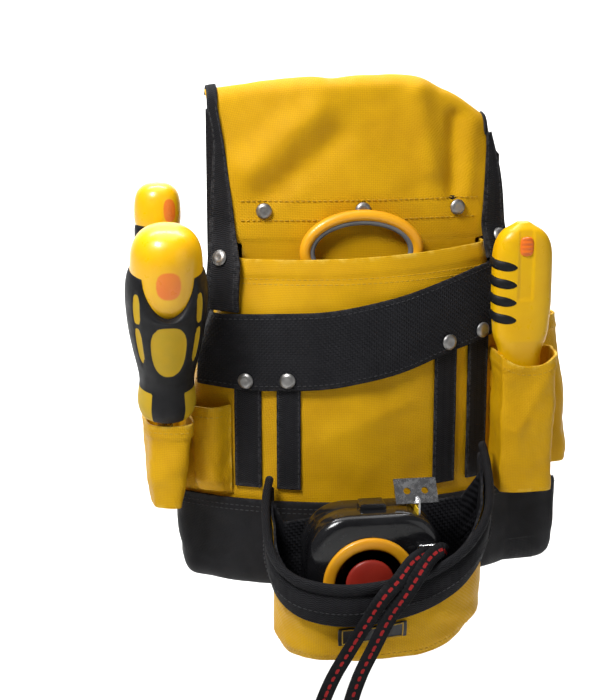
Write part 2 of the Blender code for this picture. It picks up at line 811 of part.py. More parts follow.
def build_drivers():
    front = driver_frame(FRONT_DRIVER_TIP, FRONT_DRIVER_LEAN)
    handle = [(0, 126), (8, 125), (15, 121.5), (19.5, 115), (21.3, 106), (21.5, 92), (20.8, 78),
              (19.0, 71), (16.5, 70), (16.5, 20), (17.8, 19), (18.6, 14), (17.0, 6), (12.5, 1.5),
              (4.4, 0), (4.4, 12), (0, 12)]
    grip = [(21.5, 69.5), (24.4, 66), (25.2, 56), (24.2, 42), (22.4, 30), (20.6, 22), (18.9, 20.5),
            (16.8, 20.5), (16.8, 69.5), (21.5, 69.5)]
    shaft = [(0, 11.5), (4.0, 11.5), (4.0, -48), (3.2, -52), (0, -52)]
    make_driver("driver_front", front, handle, grip, shaft, (6.5, 45.0, 6.6, 20.0, 6))
    rear = driver_frame(REAR_DRIVER_TIP, 0.0)
    handle = [(0, 100), (7, 99), (12, 95), (14.2, 88), (14.5, 78), (13.5, 72), (11.0, 71.5),
              (11.0, 12), (11.5, 11), (9.0, 2), (3.4, 0), (3.4, 10), (0, 10)]
    grip = [(13.0, 71), (14.4, 69), (14.8, 50), (14.0, 30), (13.0, 14), (11.9, 12.6), (11.3, 12.6),
            (11.3, 71), (13.0, 71)]
    shaft = [(0, 9.5), (3.0, 9.5), (3.0, -89), (2.2, -92.5), (0, -92.5)]
    make_driver("driver_rear", rear, handle, grip, shaft)


# ---------------------------------------------------------------- knife

def knife_outline():
    """Butt rounded at the top, wide hand part, slimmer nose."""
    points = []
    for step in range(13):
        angle = math.pi * step / 12
        points.append((18.5 * math.cos(angle), 62.0 + 19.0 * math.sin(angle)))
    points += [(-18.8, 30), (-17.0, 10), (-11.4, 0), (-11.2, -50), (-8.0, -66), (10.0, -66),
               (14.5, -50), (15.5, -4), (18.2, 8), (19.2, 30)]
    return points


def build_knife():
    centre = KNIFE_CENTRE
    half = 9.6
    offset = half / 2 + 0.25
    shells = []
    for name, side in (("knife_case_front", -1), ("knife_case_rear", 1)):
        shell = plate(name, knife_outline(), half, YELLOW, 0.4)
        shell.matrix_world = facing_front(centre + Vector((0, side * offset, 0)))
        bevel(shell, 3.2, 3, 50)
        shells.append(shell)
    channel = bare_object("channel", box_mesh("channel", centre + Vector((-9.6, -2.6, -95)),
                                              centre + Vector((10.5, 1.2, 66))))
    for shell in shells:
        boolean(shell, channel, "DIFFERENCE")
    slot = bare_object("slot", box_mesh("slot", centre + Vector((-4.0, -12, 34)),
                                        centre + Vector((4.0, -1, 76))))
    boolean(shells[0], slot, "DIFFERENCE")
    slider = add_object("knife_slider", box_mesh("knife_slider", centre + Vector((-3.5, -11.8, 56)),
                                                 centre + Vector((3.5, -1.0, 74))), ORANGE, 0.4)
    carrier = bare_object("carrier", box_mesh("carrier", centre + Vector((-6.0, -2.3, -20)),
                                              centre + Vector((6.0, -0.3, 62))))
    boolean(slider, carrier, "UNION")
    blade = plate("knife_blade", [(-8.6, 30), (9, 30), (9, -36), (-8.6, -20)], 0.6, STEEL, 0.25, 1.0)
    blade.matrix_world = facing_front(centre + Vector((0.4, 0.4, -26)))
    ribs = []
    x0, x1 = -19.6, -6.0
    ribs.append((x0, 44.0))
    for z in (44.0, 33.0, 22.0, 11.0):
        ribs += [(x1 - 1.0, z), (x1, z - 2.5), (x1 - 1.0, z - 5.0), (x0 + 4.0, z - 5.0), (x0 + 4.0, z - 9.0)]
    ribs[-1] = (x0, 4.0)
    comb = plate("knife_grip_ribs", ribs, 2.4, BLACK, 0.7)
    comb.matrix_world = facing_front(centre + Vector((0, -half - GAP - 1.5, 0)))
    bevel(comb, 0.8, 1)


# ---------------------------------------------------------------- scissors

def ring_points(centre, wide, high, count=28):
    return [(centre[0] + wide * math.cos(2 * math.pi * i / count), centre[1],
             centre[2] + high * math.sin(2 * math.pi * i / count)) for i in range(count)]


def make_scissor_half(letter, side, ring, size, grip, arm, blade):
    """One handle ring with its arm, its grey lining and its steel blade."""
    pivot = SCISSORS_PIVOT
    centre = pivot + Vector(ring)
    wide, high = size
    layer = -1.1 * side
    handle = solid_mesh(tube("scissors_handle_" + letter, ring_points(centre, wide, high), grip,
                             ORANGE, 0.35, True, 2))
    lever = plate("lever_" + letter, arm, 5.0, ORANGE)
    lever.matrix_world = facing_front(pivot)
    as_cutter(lever)
    boolean(handle, lever, "UNION")
    low = (min(side * -2.0, side * 7.4), layer - 1.2, 10.0)
    high_corner = (max(side * -2.0, side * 7.4), layer + 1.2, 30.4)
    slot = bare_object("tang_slot_" + letter, box_mesh("tang_slot", pivot + Vector(low),
                                                       pivot + Vector(high_corner)))
    boolean(handle, slot, "DIFFERENCE")
    tube("scissors_lining_" + letter, ring_points(centre, wide - grip - 2.1, high - grip - 2.1), 1.5,
         GREY, 0.6, True, 2)
    steel = plate("scissors_blade_" + letter, blade, 1.8, STEEL, 0.25, 1.0)
    steel.matrix_world = facing_front((pivot.x, pivot.y + layer, pivot.z))
    drill((pivot.x, pivot.y + layer, pivot.z), (0, -1, 0), 2.8, 3.0, 3.0, steel)


def build_scissors():
    arm_a = [(0.8, 16), (8, 16), (16, 30), (24, 38.5), (22, 41.5), (12, 41.5), (3, 42.5), (0.8, 38)]
    arm_b = [(-0.8, 16), (-0.8, 32), (-8, 33), (-16, 32), (-21, 32), (-21.5, 24), (-25, 18.5),
             (-18, 14.5), (-8, 14)]
    blade_a = [(1.5, 30), (7, 30), (7.2, 12), (7, 0), (5.5, -48), (0.5, -90), (-4.5, -28),
               (-6.5, 0), (-5, 7), (1.5, 13)]
    blade_b = [(-x, z) for x, z in reversed(blade_a)]
    make_scissor_half("a", 1, (12.5, 0, 62.0), (35.5, 22.5), 3.6, arm_a, blade_a)
    make_scissor_half("b", -1, (-28.0, 0, 31.0), (10.0, 16.0), 3.0, arm_b, blade_b)
    pin = lathe("scissors_pivot_screw", [(0, 3.4), (3.6, 3.0), (4.6, 2.3), (2.4, 2.3), (2.4, -2.3),
                                         (4.2, -2.3), (4.2, -3.2), (0, -3.2)], STEEL, 0.3, 1.0, 16)
    pin.matrix_world = facing_front(SCISSORS_PIVOT)


# ---------------------------------------------------------------- tape measure

def build_tape():
    centre = TAPE_CENTRE
    half = 18.0
    outline = rounded_outline(41.0, 40.0, 26.0, 6)
    shells = []
    for name, offset in (("tape_case_front", -9.15), ("tape_case_rear", 9.15)):
        shell = plate(name, outline, half, BLACK, 0.25)
        shell.matrix_world = facing_front(centre + Vector((0, offset, 0)))
        bevel(shell, 4.0, 3, 50)
        shells.append(shell)
    chamber = bare_object("chamber", rod_mesh("chamber", 28.0, centre + Vector((-5, -13.5, 0)),
                                              centre + Vector((-5, 13.5, 0)), 28))
    mouth = bare_object("mouth", box_mesh("mouth", centre + Vector((22.0, -13.5, -20)),
                                          centre + Vector((30.0, 13.5, 60))))
    seat = bare_object("seat", rod_mesh("seat", 15.0, centre + Vector((-4, -24, -1.5)),
                                        centre + Vector((-4, -16.6, -1.5)), 28))
    for shell in shells:
        boolean(shell, chamber, "DIFFERENCE")
        boolean(shell, mouth, "DIFFERENCE")
    boolean(shells[0], seat, "DIFFERENCE")
    ring_y = -half - GAP - 1.0
    ring = lathe("tape_face_ring", [(22.5, 1.5), (27.5, 1.5), (28.5, 0.2), (28.5, -0.6), (21.5, -0.6),
                                    (21.5, 0.2), (22.5, 1.5)], YELLOW, 0.35, 0.0, 32)
    ring.matrix_world = facing_front(centre + Vector((-4, ring_y, -1.5)))
    hub = lathe("tape_hub", [(0, 2.2), (10, 1.9), (14.2, 0.4), (14.6, -1.2), (0, -1.2)], RED, 0.4, 0.0, 28)
    hub.matrix_world = facing_front(centre + Vector((-4, -half - 0.2, -1.5)))
    spool = lathe("tape_spool", [(0, 12.5), (26.0, 12.5), (26.0, -12.5), (0, -12.5)], YELLOW, 0.4, 0.0, 28)
    spool.matrix_world = facing_front(centre + Vector((-5, 0, 0)))
    button = add_object("tape_lock_button", box_mesh("tape_lock_button", centre + Vector((-8.0, -7.0, 36.0)),
                                                     centre + Vector((8.0, 7.0, 43.5))), ORANGE, 0.4)
    bevel(button, 1.5, 2)
    well = bare_object("well", box_mesh("well", centre + Vector((-8.4, -7.4, 35.0)),
                                        centre + Vector((11.4, 7.4, 50.0))))
    for shell in shells:
        boolean(shell, well, "DIFFERENCE")
    blade = add_object("tape_blade", box_mesh("tape_blade", centre + Vector((25.4, -12.5, -16.0)),
                                              centre + Vector((26.2, 12.5, 41.4))), YELLOW, 0.4)
    hook = plate("tape_hook", [(-13, -8), (13, -8), (13, 8), (-13, 8)], 1.2, STEEL, 0.25, 1.0)
    hook.matrix_world = (Matrix.Translation((centre + Vector((27.0, 0.0, 48.5))) * MM)
                         @ Matrix.Rotation(math.radians(52), 4, "X"))
    tab = bare_object("hook_tab", box_mesh("hook_tab", centre + Vector((26.6, -10.0, 33.0)),
                                           centre + Vector((27.8, 10.0, 46.0))))
    boolean(hook, tab, "UNION")
    for x in (-5.5, 5.5):
        place = centre + Vector((27.0 + x, 0.0, 48.5))
        drill(place, (0, -math.sin(math.radians(52)), math.cos(math.radians(52))), 2.2, 4.0, 4.0, hook)
    anchor = add_object("tape_strap_anchor", box_mesh("tape_strap_anchor", centre + Vector((24, -22.5, 10)),
                                                      centre + Vector((36, -18.6, 22))), STEEL, 0.3, 1.0)
    bevel(anchor, 0.8, 2)


# Route of the wrist strap: out of the anchor, over the hoop, round the free loop, back.
STRAP_ROUTE = ((28.0, -108.5, -234.5), (22.0, -113.0, -231.0), (12.0, -120.0, -233.0),
               (2.0, -127.5, -241.0), (-8.0, -131.0, -250.0), (-16.0, -131.5, -262.0),
               (-27.0, -131.5, -280.0), (-38.0, -131.0, -300.0), (-46.0, -130.5, -322.0),
               (-51.0, -130.0, -345.0), (-52.0, -130.0, -362.0), (-48.0, -130.0, -375.0),
               (-40.0, -130.0, -381.0), (-33.0, -130.0, -374.0), (-30.0, -130.0, -360.0),
               (-29.0, -130.0, -344.0), (-28.0, -130.5, -322.0), (-22.0, -131.0, -300.0),
               (-13.0, -131.5, -280.0), (-4.0, -131.5, -262.0), (5.0, -130.5, -250.0),
               (14.0, -127.0, -238.5), (22.0, -120.5, -231.0), (30.0, -114.0, -229.0),
               (34.0, -108.5, -233.5))
STRAP_RADIUS = 2.0


def smooth_route(points, per_span):
    """Catmull-Rom curve through the route's points."""
    nodes = [Vector(p) for p in points]
    nodes = [2 * nodes[0] - nodes[1]] + nodes + [2 * nodes[-1] - nodes[-2]]
    path = []
    for a, b, c, d in zip(nodes, nodes[1:], nodes[2:], nodes[3:]):
        for i in range(per_span):
            t = i / per_span
            path.append(0.5 * (2 * b + (c - a) * t + (2 * a - 5 * b + 4 * c - d) * t ** 2
                               + (3 * b - a - 3 * c + d) * t ** 3))
    path.append(nodes[-2])
    return path


def build_wrist_strap():
    tube("wrist_strap", smooth_route(STRAP_ROUTE, 2), STRAP_RADIUS, BLACK, 0.9, False, 2)


build_pouch()
build_drivers()
build_knife()
build_scissors()
build_tape()
build_wrist_strap()
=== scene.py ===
"""Looks of the electrician tool pouch and its tools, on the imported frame.

Lengths are written in millimetres and turned into metres by MM. The surface
functions repeat the CAD model's shape, with finer detail on top.
"""
import functools
from math import atan, atan2, copysign, cos, dist, exp, hypot, pi, radians, sin, sqrt

import bmesh
import bpy
from mathutils import Matrix, Vector, noise


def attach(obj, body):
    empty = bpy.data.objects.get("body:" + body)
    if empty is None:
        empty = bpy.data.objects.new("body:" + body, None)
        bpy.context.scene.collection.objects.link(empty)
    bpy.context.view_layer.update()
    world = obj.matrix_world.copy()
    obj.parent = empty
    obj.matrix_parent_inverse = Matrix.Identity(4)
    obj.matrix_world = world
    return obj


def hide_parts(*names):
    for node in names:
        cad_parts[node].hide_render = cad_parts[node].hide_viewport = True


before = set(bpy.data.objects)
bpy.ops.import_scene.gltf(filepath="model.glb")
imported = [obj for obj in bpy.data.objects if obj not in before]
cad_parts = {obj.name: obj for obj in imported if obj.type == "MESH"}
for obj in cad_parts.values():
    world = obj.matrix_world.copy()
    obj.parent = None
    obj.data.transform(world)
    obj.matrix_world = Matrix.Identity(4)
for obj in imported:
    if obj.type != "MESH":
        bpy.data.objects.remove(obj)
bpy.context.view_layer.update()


MM = 0.001
GAP = 0.3
WEB = 1.8
BAND_THICK = 2
FABRIC = 1.6
BOOT_THICK = 2
TUNNEL_HALF = 95
TUNNEL_TOP = 41
TUNNEL_FRONT = -16
TUNNEL_BOW = 12
TUNNEL_SEAMS = (-35, -47)
FOLD_RADIUS = 9
FOLD_Z = 22
PANEL_END = -74
BACK_FACE = 12
BACK_THICK = 6
BACK_FLAT_HALF = 25
BACK_RADIUS = 600
BACK_HALF = 116
BACK_LOW = -262
FRONT_RADIUS = 155
CORNER_RADIUS = 12
LIP_Z = -62
BODY_BOTTOM = -258
BOOT_TOP = -221
BOOT_CURVE = -266
HEM = 8
HEM_THICK = 0.8
STRAP_END = -213
STRAP_WIDTH = 9
STRAP_RIB = 2.6
DASH_PITCH = 5.2
DASH_LENGTH = 3.6
RED_HALF = 1.8
RIM_FRONT_EXTRA = 0.23
BEAD_RADIUS = 2.6
BAG_REAR = -58.5
RIVET_RADIUS = 5
FRONT_DRIVER_TIP = Vector((-124.5, -33, -163))
FRONT_DRIVER_LEAN = radians(14)
REAR_DRIVER_TIP = Vector((-125.5, 4, -124))
KNIFE_CENTRE = Vector((96, -39.2, -128))
SCISSORS_PIVOT = Vector((-14, -21.8, -128))
TAPE_CENTRE = Vector((-6, -84, -250.5))
FLOOR_Z = -430
COVE_RADIUS = 1500
EDGE_REACH = 3
STITCH_PITCH = 3.4
STITCH_LENGTH = 2.4
STITCH_RADIUS = 0.32
QUILT_PITCH = 48
QUILT_SEAMS = (-214, -166, -118, -70, -22)
HANDLE_HALF_THICK = 2.5
HANDLE_VOXEL = 0.6


# ---- materials

LOOKS = {}


class Look:
    """A Principled material and short ways to add nodes to it; finish puts it in LOOKS."""

    def __init__(self, name, **sockets):
        self.name = name
        self.material = bpy.data.materials.new(name)
        self.material.use_nodes = True
        self.tree = self.material.node_tree
        self.shader = self.tree.nodes["Principled BSDF"]
        for socket, value in sockets.items():
            self.shader.inputs[socket.replace("_", " ")].default_value = value

    def put(self, socket, value):
        """Link or set a socket. A colour is (red, green, blue); None leaves the socket alone."""
        if isinstance(value, bpy.types.NodeSocket):
            self.tree.links.new(value, socket)
        elif value is not None:
            socket.default_value = (*value, 1) if isinstance(value, tuple) else value

    def node(self, kind, *inputs):
        node = self.tree.nodes.new(kind)
        for socket, value in zip(node.inputs, inputs):
            self.put(socket, value)
        return node

    def math(self, operation, *values):
        node = self.node("ShaderNodeMath", *values)
        node.operation = operation
        return node.outputs[0]

    def uv(self, pitch):
        """Woven coordinates, one unit per thread pitch in millimetres."""
        source = self.node("ShaderNodeUVMap")
        source.uv_map = "weave"
        scale = self.node("ShaderNodeVectorMath", source.outputs[0], None, None, 1 / pitch)
        scale.operation = "SCALE"
        parts = self.node("ShaderNodeSeparateXYZ", scale.outputs[0])
        return scale.outputs[0], parts.outputs[0], parts.outputs[1]

    def noise(self, size, detail=4, rough=0.5):
        """Soft noise with features about size millimetres across."""
        node = self.node("ShaderNodeTexNoise", self.node("ShaderNodeTexCoord").outputs["Object"])
        for socket, value in (("Scale", 1 / (size * MM)), ("Detail", detail), ("Roughness", rough)):
            node.inputs[socket].default_value = value
        return node.outputs[0]

    def attribute(self, name):
        node = self.node("ShaderNodeAttribute")
        node.attribute_name = name
        return node.outputs["Fac"]

    def blend(self, part, first, second):
        node = self.node("ShaderNodeMix", part, *[None] * 5, first, second)
        node.data_type = "RGBA"
        return node.outputs[2]

    def spread(self, value, low, high, start=0, end=1):
        return self.node("ShaderNodeMapRange", value, low, high, start, end).outputs[0]

    def patches(self, size, low, high, start=0, end=1, *kind):
        return self.spread(self.noise(size, *kind), low, high, start, end)

    def rubbed(self, size, low, high, amount):
        """Wear along the edges of a skin, broken up by noise."""
        worn = self.math("MULTIPLY", self.attribute("edge"), self.patches(size, low, high))
        return self.math("MULTIPLY", worn, amount)

    def finish(self, colour, roughness=None, height=None, depth=0.1):
        """Link colour, roughness and a bump depth millimetres deep."""
        self.put(self.shader.inputs["Base Color"], colour)
        self.put(self.shader.inputs["Roughness"], roughness)
        if height is not None:
            bump = self.node("ShaderNodeBump")
            for socket, value in (("Strength", 1), ("Distance", depth * MM), ("Height", height)):
                self.put(bump.inputs[socket], value)
            self.put(self.shader.inputs["Normal"], bump.outputs[0])
        LOOKS[self.name] = self.material


def woven(name, pitch, dark, light, worn, roughness, depth, **sockets):
    """Plain weave: warp and weft threads that pass over each other in turn."""
    look = Look(name, Roughness=roughness, **sockets)
    place, *ways = look.uv(pitch)
    warp, weft = (look.math("ABSOLUTE", look.math("SINE", look.math("MULTIPLY", way, pi)))
                  for way in ways)
    checks = look.node("ShaderNodeTexChecker", place, None, None, 1).outputs["Fac"]
    height = look.math("ADD", look.math("MULTIPLY", warp, checks),
                       look.math("MULTIPLY", weft, look.math("SUBTRACT", 1, checks)))
    cloth = look.blend(look.spread(height, 0.1, 0.9, 0.45, 1), dark, light)
    cloth = look.blend(look.patches(24, 0.35, 0.7, 0, 0.35), cloth, dark)
    cloth = look.blend(look.rubbed(5, 0.45, 0.65, 0.5), cloth, worn)
    look.finish(cloth, look.patches(9, 0.3, 0.7, roughness - 0.08, roughness + 0.1), height, depth)


def ribbed(name, pitch, dark, light, worn, roughness, depth, **sockets):
    """Webbing: ribs across the strap, each broken by a fine diagonal twist."""
    look = Look(name, Roughness=roughness, **sockets)
    _, across, along = look.uv(pitch)
    zigzag = look.math("PINGPONG", look.math("MULTIPLY", across, 0.5), 1)
    ribs = look.math("SINE", look.math("MULTIPLY", look.math("ADD", along, zigzag), 2 * pi))
    height = look.spread(ribs, -1, 1)
    cloth = look.blend(look.rubbed(4, 0.4, 0.6, 0.7), look.blend(height, dark, light), worn)
    look.finish(cloth, look.patches(7, 0.3, 0.7, roughness - 0.08, roughness + 0.08), height, depth)


def moulded(name, colour, shade, roughness, size=6, depth=0.03, **sockets):
    """Moulded plastic, rubber or metal: faint mottling and a fine surface grain."""
    look = Look(name, Roughness=roughness, **sockets)
    tone = look.blend(look.patches(size * 3, 0.35, 0.7, 0, 0.6), colour, shade)
    scuffs = look.patches(size, 0.35, 0.75, roughness - 0.06, roughness + 0.14, 6, 0.65)
    look.finish(tone, scuffs, look.noise(0.6, 2), depth)


def masked(name, base, marks, roughness, depth=0.03, **sockets):
    """Two colours of moulding, parted where the mask attribute crosses a half."""
    look = Look(name, Roughness=roughness, **sockets)
    part = look.spread(look.attribute("mask"), 0.44, 0.56)
    ground = look.blend(look.patches(14, 0.35, 0.7, 0, 0.5), *base)
    inlay = look.blend(look.patches(12, 0.35, 0.7, 0, 0.5), *marks)
    rough = look.patches(5, 0.3, 0.7, roughness - 0.05, roughness + 0.12, 6)
    look.finish(look.blend(part, ground, inlay), rough, look.noise(0.7, 2), depth)


YELLOW = (0.78, 0.43, 0.001)
YELLOW_DEEP = (0.46, 0.21, 0.001)
YELLOW_WORN = (0.9, 0.66, 0.12)
BLACK = (0.006, 0.006, 0.007)
BLACK_LIGHT = (0.018, 0.018, 0.021)
RUBBER = (0.007, 0.007, 0.008)
SATIN_BLACK = (0.014, 0.014, 0.016)
GREY_WORN = (0.05, 0.05, 0.053)

woven("yellow_fabric", 1.1, YELLOW_DEEP, YELLOW, YELLOW_WORN, 0.55, 0.16, Specular_IOR_Level=0.2)
woven("black_padding", 1.6, BLACK, BLACK_LIGHT, GREY_WORN, 0.8, 0.3, Specular_IOR_Level=0.1)
ribbed("black_webbing", 1.3, BLACK, BLACK_LIGHT, GREY_WORN, 0.72, 0.25, Specular_IOR_Level=0.14)
woven("band_webbing", 1.5, BLACK, BLACK_LIGHT, GREY_WORN, 0.7, 0.3, Specular_IOR_Level=0.14)
woven("boot_vinyl", 1, BLACK, SATIN_BLACK, GREY_WORN, 0.6, 0.12, Specular_IOR_Level=0.16)
moulded("label_rubber", BLACK, BLACK_LIGHT, 0.4)
moulded("label_frame", (0.6, 0.4, 0.02), YELLOW_DEEP, 0.45)
moulded("rivet_steel", (0.4, 0.39, 0.38), (0.2, 0.2, 0.2), 0.42, 2, 0.04, Metallic=1)
moulded("yellow_plastic", (0.82, 0.47, 0.001), (0.74, 0.38, 0.001), 0.32, Specular_IOR_Level=0.4)
moulded("black_rubber", RUBBER, SATIN_BLACK, 0.5, Specular_IOR_Level=0.22)
moulded("orange_plastic", (0.9, 0.42, 0.01), (0.85, 0.3, 0.01), 0.34, Coat_Weight=0.2)
moulded("spot_orange", (0.9, 0.2, 0.01), (0.8, 0.14, 0.01), 0.4)
moulded("grey_rubber", (0.16, 0.165, 0.17), (0.1, 0.1, 0.105), 0.6)
moulded("black_gloss_plastic", BLACK, (0.02, 0.02, 0.022), 0.2, Coat_Weight=0.3)
moulded("red_plastic", (0.42, 0.03, 0.015), (0.25, 0.015, 0.01), 0.38)
moulded("tape_yellow_steel", (0.8, 0.55, 0.02), YELLOW_DEEP, 0.35)
moulded("tool_steel", (0.62, 0.62, 0.63), (0.4, 0.4, 0.42), 0.24, 4, 0.02, Metallic=1)
moulded("yellow_thread", (0.62, 0.36, 0.01), (0.45, 0.24, 0.004), 0.7)
moulded("black_thread", BLACK_LIGHT, GREY_WORN, 0.75)
masked("driver_cap", ((0.9, 0.5, 0.001), (0.86, 0.4, 0.001)), ((0.88, 0.2, 0.01), (0.9, 0.27, 0.01)),
       0.3, Coat_Weight=0.25)
masked("driver_grip", (RUBBER, (0.016, 0.016, 0.018)), ((0.62, 0.38, 0.01), (0.45, 0.33, 0.02)), 0.5,
       Specular_IOR_Level=0.25)
masked("wrist_webbing", (BLACK, BLACK_LIGHT), ((0.35, 0.02, 0.02), (0.25, 0.01, 0.015)), 0.75, 0.2,
       Specular_IOR_Level=0.15)


# ---- shapes

def spread(start, end, count):
    return [start + (end - start) * i / (count - 1) for i in range(count)]


def circle(count):
    return [2 * pi * k / count for k in range(count)]


def between(value, table):
    if value <= table[0][0]:
        return table[0][1]
    for (a, fa), (b, fb) in zip(table, table[1:]):
        if value <= b:
            return fa + (fb - fa) * (value - a) / (b - a)
    return table[-1][1]


def eased(value, table, reach=6):
    """Reading of a table with its corners rounded over reach."""
    return sum(between(value + reach * k / 2, table) for k in range(-2, 3)) / 5


def ease(value):
    value = min(1, max(0, value))
    return value * value * (3 - 2 * value)


def along_path(path, i):
    return (path[min(len(path) - 1, i + 1)] - path[max(0, i - 1)]).normalized()


def smooth_route(points, per_span, closed=False):
    """Catmull-Rom curve through a route's points, open or round a closed loop."""
    nodes = [Vector(p) for p in points]
    if closed:
        nodes = [nodes[-1], *nodes, *nodes[:2]]
    else:
        nodes = [2 * nodes[0] - nodes[1], *nodes, 2 * nodes[-1] - nodes[-2]]
    path = []
    for a, b, c, d in zip(nodes, nodes[1:], nodes[2:], nodes[3:]):
        for i in range(per_span):
            t = i / per_span
            path.append(0.5 * (2 * b + (c - a) * t + (2 * a - 5 * b + 4 * c - d) * t ** 2
                               + (3 * b - a - 3 * c + d) * t ** 3))
    return path if closed else path + [nodes[-2]]


def settle(bm, mesh, outwards=True):
    """Write a finished bmesh into its mesh, with its faces turned outwards."""
    if outwards:
        bmesh.ops.recalc_face_normals(bm, faces=bm.faces)
    bm.to_mesh(mesh)
    bm.free()
    return mesh


def turn_out(mesh):
    bm = bmesh.new()
    bm.from_mesh(mesh)
    return settle(bm, mesh)


def bridge(bm, rings):
    """A closed solid through equal rings of vertices."""
    for first, second in zip(rings, rings[1:]):
        for i in range(len(first)):
            j = (i + 1) % len(first)
            bm.faces.new((first[i], first[j], second[j], second[i]))
    bm.faces.new(rings[0][::-1])
    bm.faces.new(rings[-1])


def loft(name, rows, ring=False, top=False, floor=False, mask=None):
    """A skin through rows of points, top row first, seen from outside left to right."""
    bm = bmesh.new()
    weave = bm.loops.layers.uv.new("weave")
    edge = bm.verts.layers.float.new("edge")
    marks = bm.verts.layers.float.new("mask")
    count = len(rows[0])
    spans = count if ring else count - 1
    middle = rows[len(rows) // 2]
    across = [0]
    for i in range(spans):
        across.append(across[-1] + dist(middle[i], middle[(i + 1) % count]))
    along = [0]
    for first, second in zip(rows, rows[1:]):
        along.append(along[-1] + dist(first[count // 2], second[count // 2]))
    verts = []
    for r, row in enumerate(rows):
        line = []
        for i, point in enumerate(row):
            vert = bm.verts.new(Vector(point) * MM)
            inside = min(along[r], along[-1] - along[r])
            if not ring:
                inside = min(inside, across[i], across[-1] - across[i])
            vert[edge] = max(0, 1 - inside / EDGE_REACH)
            vert[marks] = mask(r, i) if mask else 0
            line.append(vert)
        verts.append(line)
    for r in range(len(rows) - 1):
        for i in range(spans):
            j = (i + 1) % count
            face = bm.faces.new((verts[r][i], verts[r + 1][i], verts[r + 1][j], verts[r][j]))
            corners = ((i, r), (i, r + 1), (i + 1, r + 1), (i + 1, r))
            for loop, (u, v) in zip(face.loops, corners):
                loop[weave].uv = (across[u], -along[v])
    for wanted, line in ((floor, verts[-1][::-1]), (top, verts[0])):
        if wanted:
            for loop in bm.faces.new(line).loops:
                loop[weave].uv = (loop.vert.co.x / MM, loop.vert.co.y / MM)
    bm.normal_update()
    return settle(bm, bpy.data.meshes.new(name), False)


def solid(name, rows, **kind):
    return loft(name, rows, ring=True, top=True, floor=True, **kind)


def piece(name, mesh, body, look, *nodes, slot=None):
    """A smooth visible piece that rides its body; its slot argument is not used."""
    obj = bpy.data.objects.new(name, mesh)
    bpy.context.scene.collection.objects.link(obj)
    mesh.materials.append(LOOKS[look])
    mesh.shade_smooth()
    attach(obj, body)
    slot or look
    if nodes:
        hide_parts(*nodes)
    return obj


def thicken(obj, thickness, soft=0.5):
    """Cloth thickness inwards from the outer skin, its rims rounded off."""
    shell = obj.modifiers.new("thickness", "SOLIDIFY")
    shell.thickness = thickness * MM
    shell.offset = -1
    rim = obj.modifiers.new("rim", "BEVEL")
    rim.width = soft * MM
    rim.segments = 2
    rim.limit_method = "ANGLE"
    rim.angle_limit = radians(50)
    return shell


def cloth(name, rows, folds, look, *nodes, slot=None, thickness=FABRIC, painted_shade_inside=None, **kind):
    """A panel of the pouch, lifted by folds; a dark look given for its inside paints shade on its inner
    face and its rims.
    """
    rows = relief(rows, folds, kind.get("ring", False))
    obj = piece(name, loft(name, rows, **kind), "pouch", look, *nodes, slot=slot)
    shell = thicken(obj, thickness)
    # Painted shade: the inner face and the rims take a dark look, standing in for the shade inside the
    # pocket.
    if painted_shade_inside:
        obj.data.materials.append(LOOKS[painted_shade_inside])
        shell.material_offset = 1
        shell.material_offset_rim = 1
    return rows


def tube(name, points, radius, body, look, *nodes, slot=None, sides=4):
    """A round bar through a closed loop of points."""
    curve = bpy.data.curves.new(name, "CURVE")
    curve.dimensions = "3D"
    curve.bevel_depth = radius * MM
    curve.bevel_resolution = sides
    spline = curve.splines.new("POLY")
    spline.points.add(len(points) - 1)
    for point, spot in zip(spline.points, points):
        point.co = (*(Vector(spot) * MM), 1)
    spline.use_cyclic_u = True
    holder = bpy.data.objects.new(name, curve)
    bpy.context.scene.collection.objects.link(holder)
    bpy.context.view_layer.update()
    mesh = bpy.data.meshes.new_from_object(holder.evaluated_get(bpy.context.evaluated_depsgraph_get()))
    bpy.data.objects.remove(holder)
    mesh.name = name
    mesh.materials.clear()
    return piece(name, mesh, body, look, *nodes, slot=slot)


def relief(rows, height, ring=False):
    """Lift each point of a skin along its own normal by height(point)."""
    count = len(rows[0])
    lifted = []
    for r, row in enumerate(rows):
        high = rows[max(0, r - 1)]
        low = rows[min(len(rows) - 1, r + 1)]
        line = []
        for i, point in enumerate(row):
            before = row[i - 1] if ring or i > 0 else point
            after = row[(i + 1) % count] if ring or i < count - 1 else point
            normal = (Vector(after) - Vector(before)).cross(Vector(high[i]) - Vector(low[i]))
            line.append(Vector(point) + normal.normalized() * height(Vector(point)))
        lifted.append(line)
    return lifted


def wrinkles(amount, size, *ridges):
    """Soft waves in the cloth plus ridges: (x, z) start, (x, z) end, width, rise."""
    def height(point):
        total = amount * noise.noise(point / size) + amount * 0.3 * noise.noise(point / (size / 3))
        spot = Vector((point.x, point.z))
        for start, end, width, rise in ridges:
            start = Vector(start)
            run = Vector(end) - start
            part = min(1, max(0, (spot - start).dot(run) / run.length_squared))
            total += rise * exp(-((spot - start - run * part).length / width) ** 2)
        return total
    return height


STITCHES = {}


def stitch(path, thread, out=None, bend=100):
    """A row of stitches; out gives the skin's normal there, or bend its rough radius."""
    points = [Vector(p) for p in path]
    left = 0
    for first, second in zip(points, points[1:]):
        run = (second - first).length
        while left < run:
            spot = first.lerp(second, left / run)
            normal = Vector(out(spot) if out else (spot.x / bend, -1, 0)).normalized()
            STITCHES.setdefault(thread, []).append((spot, (second - first).normalized(), normal))
            left += STITCH_PITCH
        left -= run


